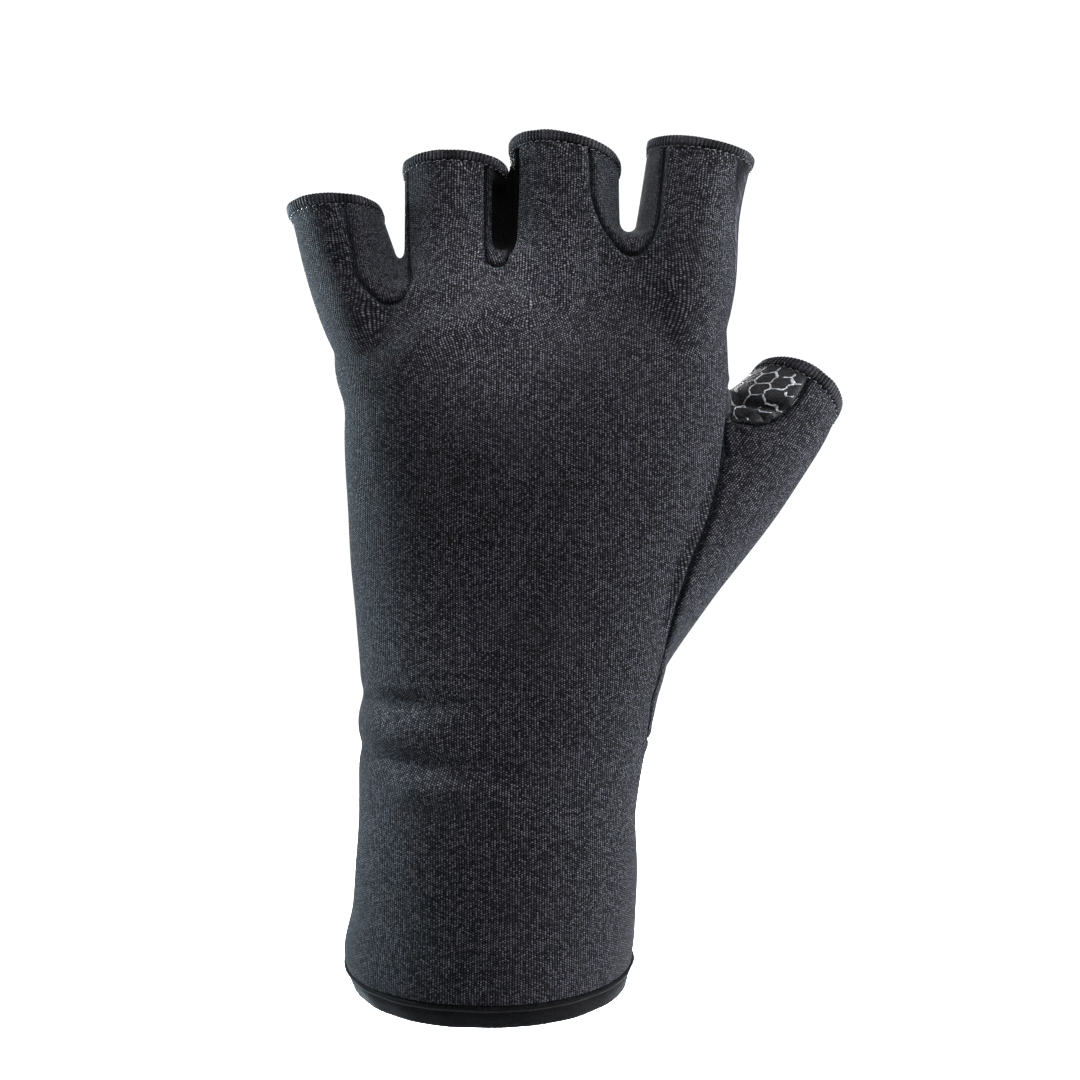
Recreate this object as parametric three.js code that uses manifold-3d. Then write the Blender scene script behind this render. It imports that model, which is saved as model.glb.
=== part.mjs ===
import * as THREE from 'three';
import { mergeVertices } from 'three/addons/utils/BufferGeometryUtils.js';
import Module from 'manifold-3d';

// A fingerless thermal glove for the left hand, fingers up, filled as a hand fills it.
// The origin is the centre of the wrist opening, +Z runs to the fingers,
// the back of the hand faces -Y and the thumb points to +X. Lengths are millimetres.

const wasm = await Module();
wasm.setup();

// Cloth, tape and the gaps that the sewn pieces keep from each other.
const WALL = 1.8;
const SEAM_GAP = 0.3;
const BINDING_HEIGHT = 3.6;
const BINDING_PROUD = 0.5;
const HEM_HEIGHT = 5.4;
const HEM_PROUD = 0.6;
const BEVEL = 0.8;
const PAST_OPENING = 6;
const FINGER_SQUARE = 2.1;
const MERGE_DISTANCE = 1e-5;

// Facets round the hand and round a finger, and rings along a finger and the thumb.
const HAND_SIDES = 36;
const FINGER_SIDES = 24;
const FINGER_RINGS = 4;
const THUMB_RINGS = 9;

// The hand, from the wrist opening to inside the fingers: its left and right edge, how
// far the back of the hand (front) and the palm stand from the middle plane, and how
// square the section is (2 is an ellipse). The rows from 44 to 77 are soft wrist folds.
const HAND = [
  { z: 0, left: -33.2, right: 34.0, front: 31.2, palm: 31.2, square: 2.1 },
  { z: 8, left: -36.0, right: 35.9, front: 32.2, palm: 32.2, square: 2.1 },
  { z: 18, left: -34.0, right: 36.4, front: 30.9, palm: 31.4, square: 2.1 },
  { z: 28, left: -33.2, right: 36.7, front: 29.9, palm: 30.7, square: 2.15 },
  { z: 39, left: -32.5, right: 36.2, front: 28.7, palm: 29.8, square: 2.2 },
  { z: 44, left: -32.4, right: 36.6, front: 28.5, palm: 29.4, square: 2.2 },
  { z: 49, left: -32.9, right: 37.6, front: 29.3, palm: 30.0, square: 2.2 },
  { z: 54, left: -32.6, right: 38.4, front: 28.4, palm: 29.4, square: 2.2 },
  { z: 58, left: -31.8, right: 39.1, front: 26.9, palm: 28.2, square: 2.2 },
  { z: 65, left: -32.5, right: 40.6, front: 27.8, palm: 28.6, square: 2.25 },
  { z: 70, left: -31.8, right: 41.9, front: 26.3, palm: 27.6, square: 2.3 },
  { z: 77, left: -32.1, right: 43.9, front: 26.2, palm: 27.6, square: 2.35 },
  { z: 88, left: -33.0, right: 45.6, front: 25.0, palm: 26.6, square: 2.4 },
  { z: 103, left: -34.3, right: 50.6, front: 23.3, palm: 24.4, square: 2.5 },
  { z: 118, left: -35.2, right: 56.4, front: 21.8, palm: 21.8, square: 2.6 },
  { z: 133, left: -35.8, right: 58.9, front: 20.4, palm: 19.6, square: 2.7 },
  { z: 141, left: -36.0, right: 58.9, front: 19.7, palm: 18.6, square: 2.8 },
  { z: 149, left: -38.3, right: 59.1, front: 18.9, palm: 17.3, square: 2.8 },
  { z: 161, left: -38.0, right: 58.6, front: 17.0, palm: 15.2, square: 2.8 },
  { z: 168, left: -38.5, right: 58.0, front: 15.6, palm: 14.2, square: 2.8 },
  { z: 176, left: -38.5, right: 57.5, front: 12.9, palm: 12.0, square: 2.8 },
  { z: 182, left: -17.0, right: 57.0, front: 11.6, palm: 11.0, square: 2.8 },
  { z: 190, left: -15.0, right: 56.0, front: 10.0, palm: 10.0, square: 2.8 },
];

// The fingers and the thumb, each from its opening down to its root inside the hand:
// the two edges of the section across the hand, the middle of its depth (y), half its
// depth, and how many degrees the section faces away from the back of the hand.
const PINKY = [
  { leftX: -49.9, leftZ: 190.3, rightX: -27.6, rightZ: 191.2, y: 0, depth: 11.2, pitch: 4 },
  { leftX: -45.8, leftZ: 174.5, rightX: -22.9, rightZ: 178.0, y: 0, depth: 12.0, pitch: 3 },
  { leftX: -41.0, leftZ: 160.0, rightX: -17.5, rightZ: 166.0, y: -1, depth: 14.0, pitch: 0 },
  { leftX: -33.0, leftZ: 144.0, rightX: -13.0, rightZ: 148.0, y: -1, depth: 12.5, pitch: 0 },
];
const RING = [
  { leftX: -21.2, leftZ: 200.8, rightX: 3.9, rightZ: 200.4, y: 0, depth: 12.4, pitch: 4 },
  { leftX: -21.3, leftZ: 180.0, rightX: 3.7, rightZ: 180.0, y: 0, depth: 13.4, pitch: 3 },
  { leftX: -22.0, leftZ: 163.0, rightX: 3.6, rightZ: 164.0, y: -1, depth: 15.4, pitch: 0 },
  { leftX: -20.0, leftZ: 144.0, rightX: 3.0, rightZ: 144.0, y: -1, depth: 14.5, pitch: 0 },
];
const MIDDLE = [
  { leftX: 5.3, leftZ: 206.6, rightX: 32.2, rightZ: 201.4, y: 0, depth: 12.8, pitch: 7 },
  { leftX: 5.1, leftZ: 186.0, rightX: 32.5, rightZ: 184.0, y: 0, depth: 13.6, pitch: 3 },
  { leftX: 4.6, leftZ: 166.0, rightX: 33.0, rightZ: 167.0, y: -1, depth: 15.6, pitch: 0 },
  { leftX: 6.0, leftZ: 144.0, rightX: 31.0, rightZ: 144.0, y: -1, depth: 14.5, pitch: 0 },
];
const INDEX = [
  { leftX: 39.9, leftZ: 207.6, rightX: 65.5, rightZ: 202.8, y: 0, depth: 12.4, pitch: -5 },
  { leftX: 37.0, leftZ: 190.0, rightX: 62.3, rightZ: 188.0, y: 0, depth: 13.3, pitch: -2 },
  { leftX: 33.9, leftZ: 170.0, rightX: 60.3, rightZ: 168.0, y: -1, depth: 15.2, pitch: 0 },
  { leftX: 32.0, leftZ: 144.0, rightX: 54.5, rightZ: 144.0, y: -1, depth: 13.5, pitch: 0 },
];
const THUMB = [
  { leftX: 69.2, leftZ: 153.0, rightX: 88.2, rightZ: 140.4, y: 8.0, depth: 11.8, pitch: 24 },
  { leftX: 63.6, leftZ: 148.2, rightX: 84.6, rightZ: 132.7, y: 7.0, depth: 13.0, pitch: 18 },
  { leftX: 56.0, leftZ: 141.7, rightX: 78.3, rightZ: 123.1, y: 6.0, depth: 14.4, pitch: 14 },
  { leftX: 46.6, leftZ: 131.4, rightX: 71.6, rightZ: 113.2, y: 5.0, depth: 16.0, pitch: 10 },
  { leftX: 36.0, leftZ: 118.0, rightX: 63.8, rightZ: 102.9, y: 4.5, depth: 17.4, pitch: 6 },
  { leftX: 27.0, leftZ: 104.0, rightX: 55.6, rightZ: 92.8, y: 4.0, depth: 18.4, pitch: 3 },
  { leftX: 19.0, leftZ: 90.0, rightX: 48.2, rightZ: 82.6, y: 4.0, depth: 19.0, pitch: 0 },
  { leftX: 14.0, leftZ: 78.0, rightX: 43.6, rightZ: 75.0, y: 4.0, depth: 19.0, pitch: 0 },
  { leftX: 12.0, leftZ: 66.0, rightX: 40.0, rightZ: 66.0, y: 4.0, depth: 18.0, pitch: 0 },
];

// The gaps between the fingers: the middle of each, half its width at mid depth, and
// the height of the web's edge at the back of the hand, in the middle and at the palm.
const GAPS = [
  { x: -22.2, half: 3.0, back: 167.0, middle: 176.0, palm: 168.0 },
  { x: 4.4, half: 2.2, back: 175.4, middle: 179.5, palm: 175.0 },
  { x: 34.6, half: 3.0, back: 178.6, middle: 184.2, palm: 178.0 },
];
// Along the depth of the hand a gap opens out as the round fingers part.
const GAP_STATIONS = [
  { y: -30, opening: 11 },
  { y: -14, opening: 8 },
  { y: -11.5, opening: 5 },
  { y: -8, opening: 2 },
  { y: 0, opening: 0 },
  { y: 8, opening: 2 },
  { y: 11.5, opening: 5 },
  { y: 14, opening: 8 },
  { y: 30, opening: 11 },
];
const GAP_FACE = 14;
const GAP_TOP = 240;
const GAP_ARC_STEPS = 6;

// The seams of the gussets between the fingers, as seen on the back of the hand,
// from the left finger's opening down round the web and up the right finger.
const GUSSET_SEAMS = {
  fourchette_pinky_ring: [
    [-38.6, 215], [-34.6, 188.3], [-32.7, 180], [-30.8, 171], [-26.5, 165.8],
    [-23.4, 164.3], [-20.2, 165.4], [-18.6, 170.4], [-20.2, 178], [-21.4, 188], [-21.8, 215],
  ],
  fourchette_ring_middle: [
    [-0.6, 215], [-0.5, 196.2], [-0.5, 176.5], [0.4, 174.2], [2.5, 173.3],
    [4.4, 174.4], [5.2, 178], [5.6, 192.1], [5.6, 215],
  ],
  fourchette_middle_index: [
    [24.3, 215], [24.5, 199.5], [25.4, 189.5], [28.8, 181.5], [32.0, 177.4],
    [35.0, 176.4], [37.9, 178.3], [40.4, 184], [41.7, 195.7], [43.6, 215],
  ],
};
// Each gusset widens between the faces of the hand by the spread, which it reaches
// this far above its lowest point.
const GUSSET_SPREAD = 3.2;
const GUSSET_RISE = 8;
const GUSSET_FACE = 9;
const GUSSET_MIDDLE = 3;

// The edge of the back panel: the seam on the thumb side (seamX), how far round the
// side it reaches where the seam is hidden (sideY), and the same on the little finger's
// side (pinkyY). The two steps are inside the hollow hand. The rows marked as raised
// lift with the seam gap, where the seam runs level round the side of the wrist.
const FAR = 120;
const BACK_EDGE = [
  { z: -10, seamX: FAR, sideY: 8, pinkyY: 8, pinkyStep: -20, indexStep: 20 },
  { z: 59.1, seamX: FAR, sideY: 8, pinkyY: 8, pinkyStep: -20, indexStep: 24, raised: 1 },
  { z: 59.9, seamX: 38.3, sideY: 7, pinkyY: 8, pinkyStep: -20, indexStep: 24, raised: 1 },
  { z: 70, seamX: 39.5, sideY: 6, pinkyY: 8, pinkyStep: -20, indexStep: 26 },
  { z: 83, seamX: 43.0, sideY: 5, pinkyY: 8, pinkyStep: -20, indexStep: 28 },
  { z: 93, seamX: 45.3, sideY: 4, pinkyY: 8, pinkyStep: -20, indexStep: 30 },
  { z: 103, seamX: 48.6, sideY: 4, pinkyY: 8, pinkyStep: -20, indexStep: 34 },
  { z: 113, seamX: 52.8, sideY: 4, pinkyY: 7, pinkyStep: -20, indexStep: 38 },
  { z: 123, seamX: 55.8, sideY: 4, pinkyY: 7, pinkyStep: -22, indexStep: 42 },
  { z: 133, seamX: 57.3, sideY: 4, pinkyY: 7, pinkyStep: -24, indexStep: 46 },
  { z: 145.6, seamX: 58.6, sideY: 4, pinkyY: 6, pinkyStep: -26, indexStep: 48 },
  { z: 150, seamX: 61.5, sideY: 4, pinkyY: 6, pinkyStep: -27, indexStep: 48 },
  { z: 160, seamX: 62.5, sideY: 5, pinkyY: 5, pinkyStep: -32, indexStep: 50 },
  { z: 165, seamX: FAR, sideY: 5, pinkyY: 5, pinkyStep: -34, indexStep: 50 },
  { z: 190, seamX: FAR, sideY: 5, pinkyY: 5, pinkyStep: -42, indexStep: 55 },
  { z: 215, seamX: FAR, sideY: 5, pinkyY: 5, pinkyStep: -48, indexStep: 57 },
];
const STEP_WIDTH = 6;

// The outline of the thumb panel across the hand: its upper edge is the seam where the
// printed grip fabric of the palm comes over the inner side of the thumb.
const THUMB_PANEL_EDGE = [
  [20, 58.8], [FAR, 58.8], [FAR, 175], [90.5, 175], [84.4, 158], [79.4, 149.0],
  [76.2, 143.6], [72.4, 139.2], [68.2, 136.8], [64.6, 136.0], [61.0, 137.0],
  [58.0, 138.7], [57.4, 137.9], [57.4, 128.0], [20, 118],
];
const THUMB_PANEL_PALM_Y = 10;

// The cloths, as they look by eye.
const shellFabric = new THREE.MeshStandardMaterial({ color: 0x2c2c33, roughness: 0.9, metalness: 0 });
const gripFabric = new THREE.MeshStandardMaterial({ color: 0x18181b, roughness: 0.75, metalness: 0 });
const bindingTape = new THREE.MeshStandardMaterial({ color: 0x141417, roughness: 0.85, metalness: 0 });
const hemTape = new THREE.MeshStandardMaterial({ color: 0x0f0f11, roughness: 0.8, metalness: 0 });

// A closed solid through rings of points that all have the same number of sides.
function loft(rings) {
  const sides = rings[0].length;
  const points = rings.flat();
  const triangles = [];
  for (let ring = 0; ring + 1 < rings.length; ring += 1) {
    for (let side = 0; side < sides; side += 1) {
      const a = ring * sides + side;
      const b = ring * sides + ((side + 1) % sides);
      triangles.push(a, b, b + sides, a, b + sides, a + sides);
    }
  }
  const lastRing = (rings.length - 1) * sides;
  const shape = rings[0].map((point) => new THREE.Vector2(point.u, point.v));
  const clockwise = THREE.ShapeUtils.isClockWise(shape);
  for (const [a, b, c] of THREE.ShapeUtils.triangulateShape(shape, [])) {
    const [first, third] = clockwise ? [c, a] : [a, c];
    triangles.push(third, b, first);
    triangles.push(lastRing + first, lastRing + b, lastRing + third);
  }
  const geometry = new THREE.BufferGeometry();
  const positions = points.flatMap((point) => [point.x, point.y, point.z]);
  geometry.setAttribute('position', new THREE.Float32BufferAttribute(positions, 3));
  geometry.setIndex(triangles);
  return geometry;
}

// A closed geometry as a solid that can be joined and cut, turned inside out if its
// faces point inwards.
function solid(geometry) {
  const closed = geometry.clone();
  closed.deleteAttribute('normal');
  closed.deleteAttribute('uv');
  const merged = mergeVertices(closed, MERGE_DISTANCE);
  const vertProperties = new Float32Array(merged.attributes.position.array);
  const triVerts = new Uint32Array(merged.index.array);
  const made = new wasm.Manifold(new wasm.Mesh({ numProp: 3, vertProperties, triVerts }));
  if (made.volume() > 0) return made;
  for (let corner = 0; corner < triVerts.length; corner += 3) {
    const kept = triVerts[corner + 1];
    triVerts[corner + 1] = triVerts[corner + 2];
    triVerts[corner + 2] = kept;
  }
  return new wasm.Manifold(new wasm.Mesh({ numProp: 3, vertProperties, triVerts }));
}

function joined(solids) {
  return solids.reduce((whole, piece) => whole.add(piece));
}

// A named mesh of the glove from a finished solid, without the crumbs that a cut leaves.
function clothPiece(name, piece, material) {
  const largest = piece.decompose().reduce((a, b) => (a.volume() > b.volume() ? a : b));
  const { vertProperties, triVerts } = largest.getMesh();
  const geometry = new THREE.BufferGeometry();
  geometry.setAttribute('position', new THREE.Float32BufferAttribute(vertProperties, 3));
  geometry.setIndex(Array.from(triVerts));
  geometry.computeVertexNormals();
  const mesh = new THREE.Mesh(geometry, material);
  mesh.name = name;
  return mesh;
}

// The value of each column at a place between two rows, on a smooth curve through them.
function between(rows, place) {
  const last = rows.length - 1;
  const index = Math.min(Math.max(Math.floor(place), 0), last - 1);
  const t = place - index;
  const before = rows[Math.max(index - 1, 0)];
  const start = rows[index];
  const end = rows[index + 1];
  const after = rows[Math.min(index + 2, last)];
  const row = {};
  for (const column of Object.keys(start)) {
    const leave = (end[column] - before[column]) / 2;
    const arrive = (after[column] - start[column]) / 2;
    const step = end[column] - start[column];
    const curve = t * t * (3 * step - 2 * leave - arrive) + t * t * t * (leave + arrive - 2 * step);
    row[column] = start[column] + t * leave + curve;
  }
  return row;
}

// A section as a centre, two directions and four reaches.
function handSection(row) {
  return {
    centre: new THREE.Vector3((row.left + row.right) / 2, 0, row.z),
    across: new THREE.Vector3(1, 0, 0),
    through: new THREE.Vector3(0, 1, 0),
    half: (row.right - row.left) / 2,
    front: row.front,
    palm: row.palm,
    square: row.square,
  };
}

function fingerSection(row) {
  const chord = new THREE.Vector3(row.rightX - row.leftX, 0, row.rightZ - row.leftZ);
  const half = chord.length() / 2;
  const across = chord.clone().normalize();
  const upwards = new THREE.Vector3(-across.z, 0, across.x);
  const pitch = THREE.MathUtils.degToRad(row.pitch);
  const through = new THREE.Vector3(0, Math.cos(pitch), 0).addScaledVector(upwards, -Math.sin(pitch));
  const centre = new THREE.Vector3((row.leftX + row.rightX) / 2, row.y, (row.leftZ + row.rightZ) / 2);
  return {
    centre,
    across,
    through,
    half,
    front: row.depth,
    palm: row.depth,
    square: FINGER_SQUARE,
  };
}

// The points round a section, grown by outset and moved along its normal by lift.
function ringOf(section, sides, outset = 0, lift = 0) {
  const normal = new THREE.Vector3().crossVectors(section.across, section.through);
  const points = [];
  for (let side = 0; side < sides; side += 1) {
    const angle = (side / sides) * Math.PI * 2;
    const cosine = Math.cos(angle);
    const sine = Math.sin(angle);
    const power = 2 / section.square;
    const reach = sine < 0 ? section.front : section.palm;
    const u = Math.sign(cosine) * Math.abs(cosine) ** power * (section.half + outset);
    const v = Math.sign(sine) * Math.abs(sine) ** power * (reach + outset);
    const point = section.centre.clone();
    point.addScaledVector(section.across, u).addScaledVector(section.through, v);
    point.addScaledVector(normal, lift);
    points.push(Object.assign(point, { u, v }));
  }
  return points;
}

// How far down its rows a finger is at a distance from its opening.
function placeDown(rows, distance) {
  const top = fingerSection(rows[0]).centre;
  const next = fingerSection(rows[1]).centre;
  return distance / top.distanceTo(next);
}

// A finger's tube from a distance below its opening to its root, or past the opening
// at the top when it is the hollow.
function fingerTube(rows, rings, start, outset, hollow) {
  const sections = [];
  const first = placeDown(rows, start);
  for (let ring = 0; ring <= rings; ring += 1) {
    const place = first + ((rows.length - 1 - first) * ring) / rings;
    sections.push(ringOf(fingerSection(between(rows, place)), FINGER_SIDES, outset));
  }
  if (hollow) sections.unshift(ringOf(fingerSection(rows[0]), FINGER_SIDES, outset, PAST_OPENING));
  return solid(loft(sections));
}

// The space between two fingers above their web, a round-bottomed trough that rises
// from both faces of the hand to its middle.
function fingerGap(gap, grow) {
  const rings = GAP_STATIONS.map((station) => {
    const face = station.y < 0 ? gap.back : gap.palm;
    const slope = Math.min(Math.abs(station.y) / GAP_FACE, 1) ** 2;
    const low = gap.middle - (gap.middle - face) * slope - grow;
    const half = gap.half + station.opening + grow;
    const outline = [[gap.x - half, GAP_TOP]];
    for (let step = 0; step <= GAP_ARC_STEPS; step += 1) {
      const angle = Math.PI * (1 - step / GAP_ARC_STEPS);
      outline.push([gap.x + half * Math.cos(angle), low + half * (1 - Math.sin(angle))]);
    }
    outline.push([gap.x + half, GAP_TOP]);
    return atDepth(outline, station.y);
  });
  return solid(loft(rings));
}

// The whole glove as a filled form, grown by outset. The hollow skips every other
// row of the hand, so the inside of the cloth is smoother than the folds outside.
function filledForm(outset) {
  const hollow = outset < 0;
  const fingerStart = hollow ? 0 : BINDING_HEIGHT + SEAM_GAP;
  const handRows = HAND.filter((row, index) => !hollow || index % 2 === 0).map((row) => ({ ...row }));
  handRows[0].z = hollow ? -PAST_OPENING : HEM_HEIGHT + SEAM_GAP;
  let hand = solid(loft(handRows.map((row) => ringOf(handSection(row), HAND_SIDES, outset))));
  for (const gap of GAPS) hand = hand.subtract(fingerGap(gap, -outset));
  const fingers = [PINKY, RING, MIDDLE, INDEX].map((rows) =>
    fingerTube(rows, FINGER_RINGS, fingerStart, outset, hollow));
  const thumb = fingerTube(THUMB, THUMB_RINGS, fingerStart, outset, hollow);
  return joined([hand, ...fingers, thumb]);
}

// An outline that runs anticlockwise, moved outwards at each point by its own amount.
function movedOutwards(outline, closed, amountAt) {
  const count = outline.length;
  return outline.map(([x, z], index) => {
    const before = outline[closed ? (index + count - 1) % count : Math.max(index - 1, 0)];
    const after = outline[closed ? (index + 1) % count : Math.min(index + 1, count - 1)];
    const alongX = after[0] - before[0];
    const alongZ = after[1] - before[1];
    const scale = amountAt(z) / Math.hypot(alongX, alongZ);
    return [x + alongZ * scale, z - alongX * scale];
  });
}

// An outline across the hand, set at a depth.
function atDepth(outline, y) {
  return outline.map(([x, z]) => Object.assign(new THREE.Vector3(x, y, z), { u: x, v: z }));
}

// The space of a gusset between two fingers, which widens between the faces of the hand.
function gussetSpace(seam, grow) {
  const lowest = Math.min(...seam.map(([, z]) => z));
  const rise = (z) => THREE.MathUtils.clamp((z - lowest) / GUSSET_RISE, 0, 1);
  const narrow = movedOutwards(seam, false, () => grow);
  const wide = movedOutwards(seam, false, (z) => grow + GUSSET_SPREAD * rise(z));
  return solid(loft([
    atDepth(narrow, -FAR), atDepth(narrow, -GUSSET_FACE), atDepth(wide, -GUSSET_MIDDLE),
    atDepth(wide, GUSSET_MIDDLE), atDepth(narrow, GUSSET_FACE), atDepth(narrow, FAR),
  ]));
}

// The space of the back panel, cut along its seams.
function backSpace(grow) {
  return solid(loft(BACK_EDGE.map((row) => {
    const outline = [
      [-FAR, -FAR], [row.seamX + grow, -FAR], [row.seamX + grow, row.sideY + grow],
      [row.indexStep, row.sideY + grow], [row.indexStep - STEP_WIDTH, grow],
      [row.pinkyStep + STEP_WIDTH, grow], [row.pinkyStep, row.pinkyY + grow],
      [-FAR, row.pinkyY + grow],
    ];
    const z = row.z + (row.raised ? grow : 0);
    return outline.map(([x, y]) => Object.assign(new THREE.Vector3(x, y, z), { u: x, v: y }));
  })));
}

// The space of the thumb panel, from in front of the hand to a seam on the palm side.
function thumbSpace(grow) {
  const outline = movedOutwards(THUMB_PANEL_EDGE, true, () => grow);
  return solid(loft([atDepth(outline, -FAR), atDepth(outline, THUMB_PANEL_PALM_Y + grow)]));
}

// A band of tape round an opening. Its profile is a list of heights and reaches, and
// the section at each height comes from sectionAt.
function band(profile, sectionAt, sides) {
  const rings = profile.map(({ down, outset }) => ringOf(sectionAt(down), sides, outset));
  const count = rings.length;
  const points = rings.flat();
  const triangles = [];
  for (let ring = 0; ring < count; ring += 1) {
    const next = (ring + 1) % count;
    for (let side = 0; side < sides; side += 1) {
      const along = (side + 1) % sides;
      const a = ring * sides + side;
      const b = ring * sides + along;
      const c = next * sides + along;
      const d = next * sides + side;
      triangles.push(a, b, c, a, c, d);
    }
  }
  const geometry = new THREE.BufferGeometry();
  const positions = points.flatMap((point) => [point.x, point.y, point.z]);
  geometry.setAttribute('position', new THREE.Float32BufferAttribute(positions, 3));
  geometry.setIndex(triangles);
  return solid(geometry);
}

function tapeProfile(height, proud) {
  return [
    { down: height, outset: proud },
    { down: BEVEL, outset: proud },
    { down: 0, outset: proud - BEVEL },
    { down: 0, outset: BEVEL - WALL - proud },
    { down: BEVEL, outset: -WALL - proud },
    { down: height, outset: -WALL - proud },
  ];
}

function fingerBinding(rows) {
  const sectionAt = (down) => fingerSection(between(rows, placeDown(rows, down)));
  return band(tapeProfile(BINDING_HEIGHT, BINDING_PROUD), sectionAt, FINGER_SIDES);
}

function cuffHem() {
  const sectionAt = (up) => handSection({ ...between(HAND, up / HAND[1].z), z: up });
  return band(tapeProfile(HEM_HEIGHT, HEM_PROUD), sectionAt, HAND_SIDES);
}

// The shell of cloth, and its pieces cut from it along the seams.
const shell = filledForm(0).subtract(filledForm(-WALL));
const gloveParts = new THREE.Group();
let uncut = shell;
for (const [name, seam] of Object.entries(GUSSET_SEAMS)) {
  gloveParts.add(clothPiece(name, shell.intersect(gussetSpace(seam, 0)), shellFabric));
  uncut = uncut.subtract(gussetSpace(seam, SEAM_GAP));
}
gloveParts.add(clothPiece('back_panel', uncut.intersect(backSpace(0)), shellFabric));
uncut = uncut.subtract(backSpace(SEAM_GAP));
gloveParts.add(clothPiece('thumb_panel', uncut.intersect(thumbSpace(0)), shellFabric));
gloveParts.add(clothPiece('palm_panel', uncut.subtract(thumbSpace(SEAM_GAP)), gripFabric));

const openings = { pinky: PINKY, ring: RING, middle: MIDDLE, index: INDEX, thumb: THUMB };
for (const [finger, rows] of Object.entries(openings)) {
  gloveParts.add(clothPiece(`binding_${finger}`, fingerBinding(rows), bindingTape));
}
gloveParts.add(clothPiece('cuff_hem', cuffHem(), hemTape));

export default gloveParts;
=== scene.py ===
# %% [markdown]
# # A fingerless thermal glove
# The lesson dresses the plain solids of a sewn glove: a stretchy brushed-knit shell,
# printed grip fabric on the palm, ribbed tape round the finger openings and a smooth
# hem at the wrist. The glove has no moving parts, so everything rides on one body.
# The frame is loaded first and never changed; every piece is then made in place.

# %% Tools and the frame
import math
import bpy
import numpy as np
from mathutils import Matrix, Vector
from mathutils.bvhtree import BVHTree
from mathutils.kdtree import KDTree


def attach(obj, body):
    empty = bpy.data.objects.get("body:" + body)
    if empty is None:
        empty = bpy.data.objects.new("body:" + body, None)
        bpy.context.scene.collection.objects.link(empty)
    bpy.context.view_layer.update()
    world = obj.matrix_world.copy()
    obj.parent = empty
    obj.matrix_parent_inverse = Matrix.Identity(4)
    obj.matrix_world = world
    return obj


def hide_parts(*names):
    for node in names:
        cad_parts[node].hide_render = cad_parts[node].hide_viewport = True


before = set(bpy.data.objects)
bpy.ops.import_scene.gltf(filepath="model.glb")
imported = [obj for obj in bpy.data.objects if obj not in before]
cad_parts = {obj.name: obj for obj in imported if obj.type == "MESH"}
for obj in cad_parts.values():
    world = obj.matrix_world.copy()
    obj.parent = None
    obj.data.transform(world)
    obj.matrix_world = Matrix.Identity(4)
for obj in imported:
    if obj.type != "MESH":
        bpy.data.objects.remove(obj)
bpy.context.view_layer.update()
print("solids in the frame:", len(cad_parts))

# %% [markdown]
# ## The hand inside the glove
# The photo shows the glove filled as a hand fills it. A real maker works from a form
# shaped like a hand. It could be sculpted, but a short table of sections keeps it
# measurable: each row is a cut across the hand or a finger, in millimetres, and
# smooth curves run through the rows.

# %% Sizes of the cloth and its trims
MM = 0.001
WALL = 1.8
BINDING_HEIGHT = 3.6
BINDING_PROUD = 0.5
HEM_HEIGHT = 5.4
HEM_PROUD = 0.6
FINGER_SQUARE = 2.1
SEED = 7

# %% Sections of the hand: height, left and right edge, depth of back and palm, squareness
HAND = np.array([
    [0, -33.2, 34.0, 31.2, 31.2, 2.10],
    [8, -36.0, 35.9, 32.2, 32.2, 2.10],
    [18, -34.0, 36.4, 30.9, 31.4, 2.10],
    [28, -33.2, 36.7, 29.9, 30.7, 2.15],
    [39, -32.5, 36.2, 28.7, 29.8, 2.20],
    [44, -32.4, 36.6, 28.5, 29.4, 2.20],
    [54, -32.3, 38.3, 28.0, 29.0, 2.20],
    [65, -32.1, 40.9, 27.2, 28.3, 2.25],
    [77, -32.1, 43.9, 26.2, 27.6, 2.35],
    [88, -33.0, 45.6, 25.0, 26.6, 2.40],
    [103, -34.3, 50.6, 23.3, 24.4, 2.50],
    [118, -35.2, 56.4, 21.8, 21.8, 2.60],
    [133, -35.8, 58.9, 20.4, 19.6, 2.70],
    [141, -36.0, 58.9, 19.7, 18.6, 2.80],
    [149, -38.3, 59.1, 18.9, 17.3, 2.80],
    [161, -38.0, 58.6, 17.0, 15.2, 2.80],
    [168, -38.5, 58.0, 15.6, 14.2, 2.80],
    [176, -38.5, 57.5, 12.9, 12.0, 2.80],
    [182, -17.0, 57.0, 11.6, 11.0, 2.80],
    [190, -15.0, 56.0, 10.0, 10.0, 2.80],
])

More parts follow.
